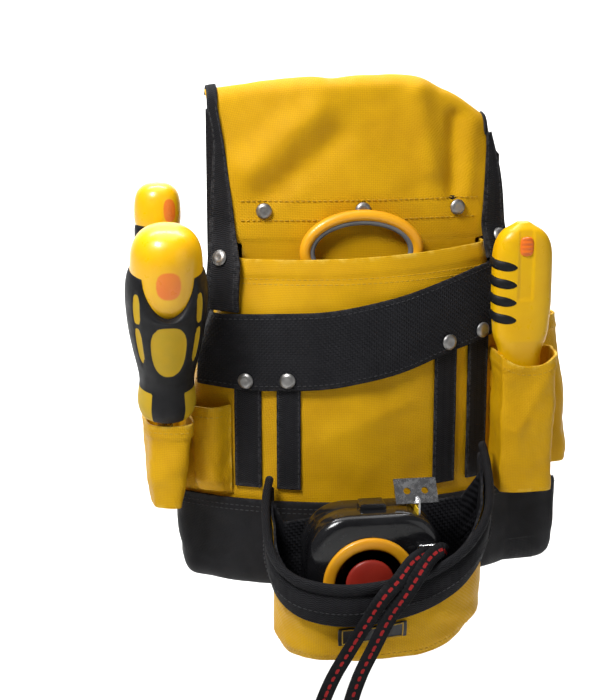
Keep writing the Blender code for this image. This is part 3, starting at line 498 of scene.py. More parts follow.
def build_stitches():
    """Short raised stitches, all of one thread in one piece."""
    for thread, marks in STITCHES.items():
        bm = bmesh.new()
        for spot, along, out in marks:
            side = along.cross(out).normalized()
            rings = []
            for part, size in ((-0.5, 0.35), (-0.3, 0.95), (0.3, 0.95), (0.5, 0.35)):
                sink = -0.25 if abs(part) > 0.4 else 0.15
                centre = spot + along * STITCH_LENGTH * part + out * STITCH_RADIUS * sink
                rings.append([bm.verts.new((centre + (side * cos(a) + out * sin(a))
                                            * STITCH_RADIUS * size) * MM) for a in circle(6)])
            bridge(bm, rings)
        name = "stitching_" + thread
        slot = "yellow_fabric" if thread == "yellow" else "black_webbing"
        piece(name, settle(bm, bpy.data.meshes.new(name)), "pouch", thread + "_thread", slot=slot)


# ---- body surfaces

def back_y(x):
    return BACK_FACE + max(0, abs(x) - BACK_FLAT_HALF) ** 2 / (2 * BACK_RADIUS)


def body_half(z):
    return eased(z, ((-266, 110), (-250, 114), (-221, 115), (-165, 108), (-130, 99), (-98, 88),
                     (-80, 82), (-62, 77)))


def back_half(z):
    return eased(z, ((-262, 112), (-250, 115), (-221, 116), (-165, 109), (-130, 100), (-100, 94)))


def crown_y(z):
    down = min(1, max(0, (-50 - z) / 75))
    low = max(0, -200 - z) / 62
    return -35 - 9 * (2 * down - down ** 2) - 4 * low ** 2


@functools.lru_cache(maxsize=None)
def body_plan(z):
    """Plan of the body's outer skin: (x, y, normal x, normal y) from left to right."""
    half = body_half(z)
    turn = 0.5
    for _ in range(4):
        edge = half - CORNER_RADIUS * (1 - sin(turn))
        turn = atan(edge / FRONT_RADIUS)
    right = []
    for x in spread(0, edge, 30):
        lean = atan(x / FRONT_RADIUS)
        right.append((x, crown_y(z) + x * x / (2 * FRONT_RADIUS), sin(lean), -cos(lean)))
    cx = half - CORNER_RADIUS
    cy = right[-1][1] + CORNER_RADIUS * cos(turn)
    for angle in spread(turn, pi / 2, 9)[1:]:
        right.append((cx + CORNER_RADIUS * sin(angle), cy - CORNER_RADIUS * cos(angle),
                      sin(angle), -cos(angle)))
    for y in spread(cy, back_y(half) - BACK_THICK - GAP, 9)[1:]:
        right.append((half, y, 1, 0))
    return [(-x, y, -nx, ny) for x, y, nx, ny in reversed(right[1:])] + right


def body_point(s, z, lift):
    """A point on the body's skin at arc length s from the centre, lifted outwards."""
    plan = body_plan(round(z, 2))
    middle = len(plan) // 2
    side = plan[middle:] if s >= 0 else plan[middle::-1]
    left = abs(s)
    for first, second in zip(side, side[1:]):
        step = dist(first[:2], second[:2])
        if left <= step:
            x, y, nx, ny = (a + (b - a) * left / step for a, b in zip(first, second))
            size = hypot(nx, ny)
            return Vector((x + lift * nx / size, y + lift * ny / size, z))
        left -= step
    x, y, nx, ny = side[-1]
    return Vector((x + lift * nx, y + lift * ny, z))


def body_normal(s, z):
    return (body_point(s, z, 10) - body_point(s, z, 0)).normalized()


def tunnel_y(x):
    return TUNNEL_FRONT + TUNNEL_BOW * (x / TUNNEL_HALF) ** 2


def tunnel_normal(x):
    return Vector((2 * TUNNEL_BOW * x / TUNNEL_HALF ** 2, -1, 0)).normalized()


def tunnel_top(x):
    if x < 0:
        return TUNNEL_TOP - 9 * (x / TUNNEL_HALF) ** 2
    return TUNNEL_TOP - 27 * (max(0, x - 20) / 75) ** 2


def webbing_y(x, z):
    upper = tunnel_y(x) - GAP - WEB
    lower = -24.8 + 0.9 * (abs(x) - 80)
    return upper + (lower - upper) * ease((-50 - z) / 25)


def webbing_normal(x, z):
    across = (webbing_y(x + 1, z) - webbing_y(x - 1, z)) / 2
    down = (webbing_y(x, z + 1) - webbing_y(x, z - 1)) / 2
    return Vector((across, -1, down)).normalized()


BAND_TOP = ((-110, -104), (-98, -103), (-25, -99), (18, -91), (60, -79), (96, -70))
BAND_LOW = ((-110, -148), (-76, -150), (-25, -147.5), (18, -139), (49, -128), (76, -122), (96, -116))
STRAPS = (("strap_left_outer", -76, 17.5), ("strap_left_inner", -50, 15),
          ("strap_right_inner", 50, 15.5), ("strap_right_outer", 74.5, 15.5))


# ---- pouch

def fold_middle(x):
    """Middle and radius, in Y, of the fold over the belt."""
    rear = back_y(x) - BACK_THICK - GAP
    return (rear + tunnel_y(x)) / 2, (rear - tunnel_y(x)) / 2


LEFT_EDGE = ((-70, 95.5), (-40, 94), (5, 91), (30, 97), (45, 98))
LEFT_SEAM = ((-70, 77), (-40, 80), (0, 85), (30, 90))
RIGHT_EDGE = ((-70, 95.5), (-45, 93), (-20, 90), (0, 84), (15, 80))
RIGHT_SEAM = ((-70, 77), (-40, 79), (0, 80), (20, 78))


def panel_half(u, z):
    """Half width of the tunnel panel at a height, just inside its webbing's edge."""
    return eased(z, LEFT_EDGE if u < 0 else RIGHT_EDGE, 8) - 1.2


def make_tunnel_panel():
    columns = [(u, tunnel_top(u * TUNNEL_HALF)) for u in spread(-1, 1, 91)]
    # The rear leg's end, then the fold over the belt, then the front leg.
    rows = [[(u * 0.93 * panel_half(u, FOLD_Z), sum(fold_middle(u * TUNNEL_HALF)),
              min(z, crest - 12 + (z - 10) * 0.3)) for u, crest in columns]
            for z in (-4, 3, 10)]
    for angle in spread(0, pi, 22):
        row = []
        for u, crest in columns:
            z = crest - FOLD_RADIUS + FOLD_RADIUS * sin(angle)
            x = u * panel_half(u, z) * (1 - 0.07 * max(0, cos(angle)))
            middle, radius = fold_middle(x)
            row.append((x, middle + radius * cos(angle), z))
        rows.append(row)
    for part in spread(0, 1, 70)[1:]:
        row = []
        for u, crest in columns:
            start = crest - FOLD_RADIUS
            z = start + (PANEL_END - start) * part
            x = u * (panel_half(u, z) - 19.5 * ease((-57 - z) / 5))
            row.append((x, tunnel_y(x), z))
        rows.append(row)
    creases = wrinkles(1.3, 34, ((-32, 17), (-69, -15), 11, 5), ((-14, 4), (-58, -32), 8, -2.6),
                       ((-16, 40), (34, -26), 10, -2.2), ((34, 30), (44, -16), 8, 3.2),
                       ((59, 14), (59, -38), 5.5, -4), ((70, 10), (69, -34), 5, 1.6))

    def folds(point):
        return creases(point) * ease((point.z + 44) / 16)
    cloth("belt_tunnel_panel_cloth", rows, folds, "yellow_fabric", "belt_tunnel_panel")
    for z in TUNNEL_SEAMS:
        path = [Vector((x, tunnel_y(x) - 0.5, z)) for x in spread(-74, 74, 60)]
        stitch([p + tunnel_normal(p.x) * folds(p) for p in path], "yellow",
               lambda p: tunnel_normal(p.x))


def slab(name, columns, taper, front, rear, low, high, crown, node):
    """A padded slab: front and rear faces round a closed loop, crowned by crown(z)."""
    rows = []
    for part in spread(0, 1, 70):
        rim = 1 - abs(2 * part - 1) ** 12
        face, back = [], []
        for u in columns:
            z = high(u) + (low - high(u)) * part
            side = 1 - abs(2 * (u - columns[0]) / (columns[-1] - columns[0]) - 1) ** 14
            x = u * taper(z)
            middle = (front(x) + rear(x)) / 2
            depth = (rear(x) - front(x)) / 2
            full = 0.35 + 0.65 * (rim * side)
            face.append((x, middle - depth * full, z))
            back.append((x, middle + (depth + crown(z)) * full, z))
        rows.append(face + back[::-1])
    piece(name, solid(name, rows), "pouch", "black_padding", node)


def make_padding():
    slab("back_panel_pad", spread(-BACK_HALF, BACK_HALF, 60), lambda z: back_half(z) / BACK_HALF,
         lambda x: back_y(x) - BACK_THICK, back_y, BACK_LOW, lambda u: min(30, tunnel_top(u) - 8),
         lambda z: 1.7 * abs(sin(pi * (z - BACK_LOW) / QUILT_PITCH)) ** 0.6, "back_panel")
    slab("tunnel_base_pad", spread(-90, 90, 50), lambda z: 1,
         lambda x: tunnel_y(x) + FABRIC + GAP, lambda x: back_y(x) - BACK_THICK - GAP, -50,
         lambda u: -33, lambda z: 0, "tunnel_base_bar")
    for z in QUILT_SEAMS:
        half = back_half(z) - 8
        stitch([(x, back_y(x) + 0.5, z) for x in spread(-half, half, 60)], "black", lambda p: (0, 1, 0))


def make_side_webbing(side, word):
    seam, edge = (LEFT_SEAM, LEFT_EDGE) if side < 0 else (RIGHT_SEAM, RIGHT_EDGE)

    def across(z):
        xs = [side * x for x in spread(eased(z, seam, 8), eased(z, edge, 8), 15)]
        return xs[::side]
    rows = []
    for angle in spread(pi / 6, pi, 20):
        row = []
        for x in across(FOLD_Z):
            middle, radius = fold_middle(x)
            crest = tunnel_top(x * TUNNEL_HALF / panel_half(side, FOLD_Z)) - FOLD_RADIUS
            row.append((x, middle + (radius + GAP + WEB) * cos(angle),
                        crest + (FOLD_RADIUS + 0.8 + GAP + WEB) * sin(angle)))
        rows.append(row)
    end = between(side * 88, BAND_TOP) + 1
    for z in spread(tunnel_top(side * 92) - 11, end, 50):
        shift = side * 2.5 * ease((-50 - z) / 45)
        rows.append([(x + shift, webbing_y(x, z), z) for x in across(z)])
    node = "tunnel_webbing_" + word
    rows = cloth(node + "_strap", rows, wrinkles(0.7, 22), "black_webbing", node, thickness=WEB)
    for column in (2, -3):
        stitch([row[column] for row in rows[20:]], "black", lambda p: webbing_normal(p.x, p.z))


def lip_shift(x):
    return -3.5 + 3.5 * x / 77 - 1.6 * cos(x / 50)


def make_main_pocket():
    folds = wrinkles(1, 30, ((-40, -165), (-5, -205), 9, 1), ((10, -150), (36, -200), 8, -1),
                     ((-20, -75), (30, -92), 12, 0.9), ((20, -160), (-24, -178), 6, 0.8))
    rows = []
    for z in spread(LIP_Z, BODY_BOTTOM, 110):
        shift = max(0, 1 - (LIP_Z - z) / 40)
        rows.append([(x, y, z + lip_shift(x) * shift) for x, y, _, _ in body_plan(round(z, 2))])

    def skin(point):
        below = LIP_Z + lip_shift(point.x) - point.z
        return folds(point) * ease(below / 20) + 0.9 * (1 - ease((below - 9.5) / 2))
    rows = cloth("main_pocket_cloth", rows, skin, "yellow_fabric", "main_pocket_panel")
    for row in (rows[8], rows[10]):
        stitch(row[12:-12], "yellow", bend=FRONT_RADIUS)


BOOT_BULGE = ((-30, 0), (-16, 14), (-8, 19), (1, 18), (5.7, 12))


def make_boot():
    levels = [(z, 0) for z in spread(BOOT_TOP, BOOT_CURVE, 32)]
    levels += [(BOOT_CURVE - 12 * sin(a), -8 * (1 - cos(a))) for a in spread(0.1, 1.5, 12)]
    rows = []
    for z, curl in levels:
        lift = GAP + 2.2 + curl
        row = [(x + lift * nx, y + lift * ny)
               for x, y, nx, ny in body_plan(round(max(z, BACK_LOW), 2))]
        ends = [[(a[0] + (b[0] - a[0]) * part, a[1] + (b[1] - a[1]) * part)
                 for part in spread(0, 1, 12)] for a, b in (row[:2], row[-2:])]
        out = ease((-220 - z) / 6)
        rows.append([(x + (between(y, BOOT_BULGE) * out if x > 100 else 0), y, z)
                     for x, y in ends[0] + row[2:-2] + ends[1]])
    folds = wrinkles(0.9, 26, ((-90, -230), (-60, -255), 8, 0.8), ((60, -228), (96, -250), 8, 0.8))
    rows = cloth("base_boot_shell", rows, folds, "boot_vinyl", "base_boot", floor=True,
                 thickness=BOOT_THICK)
    for row in (rows[3], rows[5]):
        stitch(row, "black", bend=90)


def make_band():
    rows = [[body_point(s, eased(s, BAND_TOP, 10) * (1 - part) + eased(s, BAND_LOW, 10) * part,
                        GAP + WEB + GAP + BAND_THICK) for s in spread(-108, 100, 130)]
            for part in spread(0, 1, 32)]
    rows = cloth("tool_band_webbing", rows, wrinkles(0.7, 26, ((-20, -100), (10, -130), 14, 0.8)),
                 "band_webbing", "tool_band", slot="black_webbing", thickness=BAND_THICK)
    for row in (rows[2], rows[-3]):
        stitch(row, "black")


def make_straps():
    for name, centre, width in STRAPS:
        rows = [[body_point(s, z, GAP + WEB) for s in spread(centre - width / 2, centre + width / 2, 13)]
                for z in spread(between(centre, BAND_LOW) + 16, STRAP_END, 60)]
        rows = cloth(name + "_webbing", rows, wrinkles(0.4, 18), "black_webbing", name, thickness=WEB)
        for column in (1, -2):
            stitch([row[column] for row in rows], "black")


def make_left_front_pocket():
    lip, bottom, depth, base = -160, -216, 14, GAP + FABRIC + 0.3
    swell = ((0, 0), (0.07, 0), (0.12, 0.55), (0.22, 0.88), (0.38, 1), (0.62, 1), (0.78, 0.88),
             (0.88, 0.55), (0.93, 0), (1, 0))
    columns = [(u, -113 + 26.5 * u) for u in spread(0, 1, 44)]
    rows = []
    for part in spread(0, 1, 36):
        reach = depth * (1 - 0.15 * part) * (1 - 0.5 * ease((part - 0.85) / 0.15))
        rows.append([body_point(s, lip + (bottom - lip) * part, base + reach * eased(u, swell, 0.06))
                     for u, s in columns])
    rows.append([body_point(s, bottom - 1.5, base) for u, s in columns])
    rows = cloth("pocket_left_front_cloth", rows, wrinkles(1.2, 13, ((-108, -170), (-96, -205), 4, 1.2)),
                 "yellow_fabric", "pocket_left_front")
    stitch(rows[4][6:-6], "yellow")


def ring_pocket(node, levels, loop_at, bumps):
    """A deep pocket: a closed loop of cloth at each height, hemmed at the lip."""
    rows = [smooth_route(loop_at(z), 7, closed=True) for z in levels]
    rows = cloth(node + "_cloth", rows,
                 lambda p: bumps(p) + HEM_THICK * (1 - ease((levels[0] - p.z - HEM) / 2)),
                 "yellow_fabric", node, ring=True, floor=True)
    stitch(rows[4], "yellow")


def make_side_pocket(side, y_range, table, node):
    front, rear = y_range

    def loop_at(z):
        inner = back_half(z) + GAP + 1.2
        outer = between(z, table)
        out = outer - inner
        loop = [(inner, rear), (inner + out * 0.75, rear - 1), (outer, rear - 7),
                (outer + 1, (front + rear) / 2), (outer, front + 8),
                (inner + out * 0.75, front + 1), (inner, front), (inner - 0.4, (front + rear) / 2)]
        loop = [(side * x, y, z) for x, y in loop]
        return loop[::-1] if side > 0 else loop
    levels = spread(table[-1][0], table[0][0], 46)
    ring_pocket(node, levels, loop_at,
                wrinkles(1.4, 16, ((side * 120, -190), (side * 138, -206), 6, 1.3)))


def make_knife_pocket():
    front = ((82.2, -46, 0), (83, -52, 1), (91, -54.5, 5), (99, -55, 6),
             (107, -54.5, 5), (115, -51.5, 1), (118, -44, 0), (118.5, -34, 0),
             (117.5, -25, 0))
    top, low = -129, -217

    def loop_at(z):
        part = (top - z) / (top - low)
        loop = [(x, -24 + (y + 24) * (1 - 0.04 * part ** 3), z - dip * (1 - part))
                for x, y, dip in front]
        return loop + [tuple(body_point(s, z, GAP + 0.6)) for s in (101.5, 97.5, 93.5, 89.5, 86)]
    ring_pocket("pocket_right_front", spread(top, low, 60), loop_at,
                wrinkles(1.3, 18, ((112, -140), (92, -176), 5, 1.3), ((90, -150), (112, -205), 7, -1)))


def hoop_path():
    return smooth_route([(-62, -39, -203), (-65.5, -52, -208), (-68, -68, -216),
                         (-69, -85, -225), (-66, -100, -233.5), (-58, -111, -239.5),
                         (-46, -118, -242.5), (-30, -122, -244), (-12, -123.5, -243),
                         (8, -123, -240), (26, -120, -235.5), (43, -113.5, -228.5),
                         (56, -103, -219.5), (65, -89, -211), (70, -73, -203),
                         (72.5, -57, -194), (73.5, -41, -186)], 5)


def hoop_out(path, i):
    along = along_path(path, i)
    return Vector((along.y, -along.x, 0)).normalized()


def make_rim():
    """Stiff webbing rim: a flat band, a rolled bead along its top edge."""
    bead = [(WEB - 0.2 + BEAD_RADIUS * sin(a), -2.4 - BEAD_RADIUS * cos(a))
            for a in spread(-2.3, 2.3, 14)]
    section = [(-3, -21), (-1.5, -22), (0, -21), (1.2, -15), (1.4, -9)]
    section = section + [(o - 1.6, -d - 5) for o, d in bead] + [(-3, -8)]
    path = hoop_path()
    rows = []
    for i, spot in enumerate(path):
        out = hoop_out(path, i)
        tall = 1 + RIM_FRONT_EXTRA * sin(pi * i / (len(path) - 1))
        rows.append([spot + out * o + Vector((0, 0, d * tall)) for o, d in section])
    rows = [list(column) for column in zip(*rows)]
    obj = piece("tape_pocket_rim_webbing", loft("rim", rows + [rows[0]]), "pouch", "black_webbing",
                "tape_pocket_rim")
    obj.modifiers.new("weld", "WELD").merge_threshold = 0.00002
    stitch([spot + hoop_out(path, i) * 1.6 + Vector((0, 0, -18)) for i, spot in enumerate(path)],
           "black", lambda p: (p.x, p.y + 60, 0))


def bag_floor(x):
    return -297 + 12 * (max(0, x - 15) / 45) ** 2


def bag_rows():
    path = hoop_path()[5:-5]
    brim = [spot - hoop_out(path, i) * 3.6 + Vector((0, 0, -5)) for i, spot in enumerate(path)]
    brim[0].y = brim[-1].y = BAG_REAR
    brim += [Vector((x, BAG_REAR, -221 + 0.1 * x)) for x in spread(56, -56, 24)]
    base = [Vector((p.x * 0.97, BAG_REAR if p.y > -60 else -60 + (p.y + 60) * 0.88,
                    bag_floor(p.x * 0.97 if i < len(path) else p.x))) for i, p in enumerate(brim)]
    rows = []
    for part in spread(0, 1, 60):
        pinch = 1 - 3.5 * ease((part - 0.88) / 0.12) / 60
        row = [a.lerp(b, part) for a, b in zip(brim, base)]
        rows.append([Vector((p.x * pinch, -88 + (p.y + 88) * pinch, p.z)) for p in row])
    return rows


def make_bag():
    bumps = wrinkles(1.5, 17, ((-54, -270), (-20, -292), 6, 1.6), ((30, -268), (58, -280), 5, 1.5),
                     ((-40, -262), (10, -276), 5, 1))
    # The bag's inner face and rims are dressed black as painted shade for its shadowed inside.
    rows = cloth("tape_pocket_bag_cloth", bag_rows(), bumps, "yellow_fabric", "tape_pocket_bag",
                 "tape_pocket_rear", "tape_pocket_floor", ring=True, floor=True,
                 painted_shade_inside="black_padding")
    stitch(rows[-5][10:-30], "yellow", bend=60)
    return rows


def make_label(rows):
    points = [p for row in rows for p in row if p.y < -90]

    def skin(x, z):
        near = sorted(points, key=lambda p: (p.x - x) ** 2 + (p.z - z) ** 2)[:4]
        return sum(p.y for p in near) / 4
    grid = []
    for z in spread(-272.8, -283, 14):
        row = []
        for x in spread(-31.5, 9.5, 34):
            tilt = z + 0.1 * (x + 11)
            row.append(Vector((x, skin(x, tilt) - 1.9, tilt)))
        grid.append(row)
    thicken(piece("label_patch_face", loft("label", grid), "pouch", "label_rubber", "label_patch"),
            1.2, 0.3)
    border = (grid[1][2:-2] + [row[-3] for row in grid[2:-2]] + grid[-2][-3:1:-1]
              + [row[2] for row in grid[-3:1:-1]])
    tube("label_border", [p + Vector((0, -0.1, 0)) for p in border], 0.35, "pouch", "label_frame",
         slot="label_rubber")


def rivet(name, spot, normal):
    """Domed cap with a rolled rim and a shallow flat struck into its crown."""
    r = RIVET_RADIUS
    profile = [(0.05, 2), (1.4, 2.02), (2.1, 2.2), (3.2, 2), (4.1, 1.5), (r - 0.3, 0.95),
               (r, 0.55), (r - 0.1, 0.15), (r - 0.6, 0)]
    mesh = solid(name, [[(wide * sin(a), -wide * cos(a), height) for a in circle(40)]
                        for wide, height in profile])
    turn = Vector((0, 0, 1)).rotation_difference(normal).to_matrix().to_4x4()
    mesh.transform(Matrix.Translation((Vector(spot) + normal * 0.2) * MM) @ turn)
    piece(name + "_cap", mesh, "pouch", "rivet_steel", name)


def make_rivets():
    for word, x in (("left", -61), ("centre", 0), ("right", 61)):
        rivet("rivet_tunnel_" + word, (x, tunnel_y(x) - 0.9, -41), tunnel_normal(x))
    lift = GAP + WEB + GAP + BAND_THICK + 0.4
    for word, s, z in (("left_outer", -76, -143.5), ("left_inner", -50, -142),
                       ("right_inner", 50, -121), ("right_outer", 74.5, -116)):
        rivet("rivet_strap_" + word, body_point(s, z, lift), body_normal(s, z))
    for word, side, z in (("left", -1, -69), ("right", 1, -60)):
        x = side * 88.5
        normal = webbing_normal(x, z)
        rivet("rivet_webbing_" + word, Vector((x, webbing_y(x, z), z)) + normal, normal)


# ---- tools

def turned(name, profile, body, look, *nodes, slot=None, place=None, swell=None, mask=None,
           steps=96):
    """A turned piece through (radius, height) points; swell and mask vary it by angle and height."""
    points = smooth_route([(r, 0, h) for r, h in profile], 4)
    angles = circle(steps)
    rows = []
    for p in points:
        row = []
        for a in angles:
            radius = max(0.02, p.x + (swell(a, p.z) if swell and p.x > 6 else 0))
            row.append((radius * sin(a), -radius * cos(a), p.z))
        rows.append(row)
    mesh = solid(name, rows, mask=(lambda r, i: mask(angles[i], points[r].z)) if mask else None)
    if place is not None:
        mesh.transform(place)
    return piece(name, mesh, body, look, *nodes, slot=slot)


def turn_to(angle, centre):
    """Signed angle from centre, in -pi to pi."""
    return (angle - centre + pi) % (2 * pi) - pi


def oval(angle, height, centre, level, wide, high, softness=0.22):
    """1 inside a rounded oval on a turned surface, 0 outside; 0.5 on its line."""
    across = turn_to(angle, centre) / wide
    up = (height - level) / high
    reach = (abs(across) ** 2.6 + abs(up) ** 2.6) ** (1 / 2.6)
    return min(1, max(0, 0.5 + (1 - reach) / softness))


def build_front_driver():
    place = Matrix.Translation(FRONT_DRIVER_TIP * MM) @ Matrix.Rotation(FRONT_DRIVER_LEAN, 4, "X")
    panels = (0, pi)

    def windows(angle, height):
        big = max(oval(angle, height, c, 54, 0.5, 17.5) for c in panels)
        slots = max(oval(angle, height, c + lean, level, 0.12, reach)
                    for c in panels for lean in (-0.88, 0.88)
                    for level, reach in ((80, 10), (56, 12)))
        away = min(abs(turn_to(angle, c)) for c in panels)
        wings = ease((away - 0.55) / 0.12) * ease((24 - height) / 2)
        return max(big, slots, wings)

    def cap_spot(angle, height):
        return 0.9 * oval(angle, height, 0, 97, 0.36, 9, 0.9)

    def grip_relief(angle, height):
        part = windows(angle, height)
        return -0.8 * ease(part) * ease((height - 24) / 4)

    cap = [(0.1, 126), (8, 125), (15, 121.5), (19.5, 115), (21.3, 106), (21.4, 92),
           (20.4, 80), (17, 71), (15, 66), (13.5, 22), (14, 14), (12.5, 6),
           (9, 2), (4.6, 0)]
    turned("driver_front_core", cap, "driver_front", "driver_cap", "driver_front_handle",
           slot="yellow_plastic", place=place, mask=cap_spot)
    sleeve = [(18, 101), (21.8, 99), (23.6, 94), (24.5, 86), (24.3, 76), (23, 62),
              (20.6, 48), (17.6, 34), (16.6, 26), (17.4, 18), (17.8, 11), (16, 4),
              (12.5, 1.5)]
    sleeve = turned("driver_front_sleeve", sleeve, "driver_front", "driver_grip", "driver_front_grip",
                    slot="black_rubber", mask=windows, swell=grip_relief, steps=144)
    shoulder = 74
    for vert in sleeve.data.vertices:
        height = vert.co.z / MM
        if height > shoulder:
            front = max(cos(2 * atan2(vert.co.x, -vert.co.y)), 0) ** 0.6
            vert.co.z = (shoulder + (height - shoulder) * (1 - 0.95 * front)) * MM
    sleeve.data.transform(place)


def build_rear_driver():
    place = Matrix.Translation(REAR_DRIVER_TIP * MM)
    cap = [(0.1, 100), (7, 99), (12, 95), (14.2, 88), (14.5, 78), (13.2, 72),
           (11, 69), (11, 14), (11.5, 11), (9, 2), (3.6, 0)]
    turned("driver_rear_core", cap, "driver_rear", "driver_cap", "driver_rear_handle",
           slot="yellow_plastic", place=place,
           mask=lambda a, h: oval(a, h, 0.5, 84, 0.3, 7, 0.5))
    sleeve = [(12.2, 76), (14.3, 73), (14.6, 66), (14.8, 50), (14, 30), (13, 14),
              (11.4, 12.4)]
    turned("driver_rear_sleeve", sleeve, "driver_rear", "driver_grip", "driver_rear_grip",
           slot="black_rubber", place=place,
           mask=lambda a, h: max(oval(a, h, c, 62, 0.5, 6) for c in (-0.9, 1.2, 3.1)),
           swell=lambda a, h: -0.4 * cos(3 * a))


KNIFE_TOP, KNIFE_BOTTOM, SLOT_END = 81, -66, 8
PAD_TOP, PAD_TALL, PAD_HALF, PAD_FACE = 73, 12, 4.2, -9.3
RIB_LEVELS = (57, 46, 35, 24)
RIB_SIZE = 3
KNIFE_WIDTH = ((-66, 11.2), (-50, 12.3), (0, 13), (10, 17), (30, 18.8), (62, 18.6), (70, 16.8),
               (76, 12.6), (79.5, 7.4), (81, 0.6))


def rounded(angle, wide, deep, power):
    """Point of a rounded box's outline; angle 0 is its front."""
    c, s = sin(angle), -cos(angle)
    return wide * copysign(abs(c) ** power, c), deep * copysign(abs(s) ** power, s)


def knife_skin(angle, z):
    wide = eased(z, KNIFE_WIDTH, 3)
    x, y = rounded(angle, wide, 10 * min(1, (wide / 16) ** 0.6), 0.72)
    slot = ease((5.2 - abs(x)) / 1.4) * ease((z - 33) / 2) * ease((77 - z) / 2)
    if y < 0:
        y += 0.7 * slot
    seam = exp(-(y / 0.5) ** 2)
    return Vector((x * (1 - 0.03 * seam), y, z))


def build_knife():
    angles = circle(160)
    levels = [KNIFE_TOP - 0.4 * k for k in range(8)] + spread(77.4, KNIFE_BOTTOM, 120)
    rows = [[KNIFE_CENTRE + knife_skin(a, z) for a in angles] for z in levels]
    for z in (KNIFE_BOTTOM, SLOT_END):  # the slot the blade runs in, open at the lower end
        slot = [rounded(a, 9.6, 1.1, 0.3) for a in angles]
        rows.append([KNIFE_CENTRE + Vector((0.6 + x, 0.4 + y, z)) for x, y in slot])
    piece("knife_body", solid("knife_body", rows), "knife", "yellow_plastic", "knife_case_front",
          "knife_case_rear")
    pad = []
    for part in spread(0, 1, 26):
        z = PAD_TOP - PAD_TALL * part
        size = (1 - abs(2 * part - 1) ** 3.2) ** (1 / 3.2) if 0 < part < 1 else 0.05
        row = []
        for a in circle(32):
            tooth = 0.35 * sin(z * 2.2) * max(0, cos(a))
            row.append(KNIFE_CENTRE + Vector((PAD_HALF * size * sin(a),
                                              PAD_FACE - (1.6 * size + tooth) * cos(a), z)))
        pad.append(row)
    piece("knife_slider_pad", solid("knife_slider_pad", pad), "knife_carriage", "spot_orange",
          "knife_slider", slot="orange_plastic")
    bm = bmesh.new()
    for level in RIB_LEVELS:
        rings = []
        for part in spread(0, 1, 22):
            angle = -1.95 + 1.76 * part  # ends outside the track of the slider's pad
            spot = knife_skin(angle, level - 3 * part)
            size = RIB_SIZE * sqrt(max(0.03, 1 - max(0, (part - 0.72) / 0.28) ** 2))
            radial = Vector((spot.x, spot.y, 0)).normalized()
            centre = KNIFE_CENTRE + spot
            rings.append([bm.verts.new((centre + radial * size * 0.42 * sin(a)
                                        + Vector((0, 0, size * cos(a)))) * MM) for a in circle(14)])
        bridge(bm, rings)
    piece("knife_ribs", settle(bm, bpy.data.meshes.new("knife_ribs")), "knife", "black_rubber",
          "knife_grip_ribs")


def ring_points(centre, wide, high):
    return [(centre.x + wide * cos(a), centre.y, centre.z + high * sin(a)) for a in circle(72)]


def scissor_half(letter, ring, size, grip, arm, body):
    """One moulded handle: ring and arm fused and smoothed, with its soft cushion."""
    centre = SCISSORS_PIVOT + Vector(ring)
    wide, high = size
    loop = tube("scissors_ring_" + letter, ring_points(centre, wide, high), grip, body,
                "orange_plastic", "scissors_handle_" + letter, sides=6)
    bm = bmesh.new()
    bridge(bm, [[bm.verts.new((SCISSORS_PIVOT + Vector((x, y, z))) * MM) for x, z in arm]
                for y in (-HANDLE_HALF_THICK, HANDLE_HALF_THICK)])
    bm.from_mesh(loop.data)
    settle(bm, loop.data)
    blend = loop.modifiers.new("blend", "REMESH")
    blend.mode = "VOXEL"
    blend.voxel_size = HANDLE_VOXEL * MM
    blend.use_smooth_shade = True
    soften = loop.modifiers.new("soften", "SMOOTH")
    soften.factor = 0.6
    soften.iterations = 7
    tube("scissors_cushion_" + letter, ring_points(centre, wide - grip - 0.6, high - grip - 0.6), 1.9,
         body, "grey_rubber", "scissors_lining_" + letter, sides=5)


def build_scissors():
    arm_a = [(0.8, 16), (8, 16), (16, 30), (24, 38.5), (22, 41.5), (12, 41.5), (3, 42.5), (0.8, 38)]
    arm_b = [(-0.8, 16), (-0.8, 32), (-8, 33), (-16, 32), (-21, 32), (-21.5, 24), (-25, 18.5),
             (-18, 14.5), (-8, 14)]
    scissor_half("a", (12.5, 0, 62), (35.5, 22.5), 3.6, arm_a, "scissors")
    scissor_half("b", (-28, 0, 31), (10, 16), 3, arm_b, "scissors_swing")


def rounded_loop(half_wide, half_high, radius, steps=14):
    points = []
    for corner, (sx, sz) in enumerate(((1, 1), (-1, 1), (-1, -1), (1, -1))):
        for step in range(steps + 1):
            a = pi / 2 * (corner + step / steps)
            points.append((sx * (half_wide - radius) + radius * cos(a),
                           sz * (half_high - radius) + radius * sin(a)))
    return points


TAPE_SIZES = (41, 40, 26)  # half width, half height and corner radius
TAPE_FRONT = -18.4
TAPE_EDGE = 6


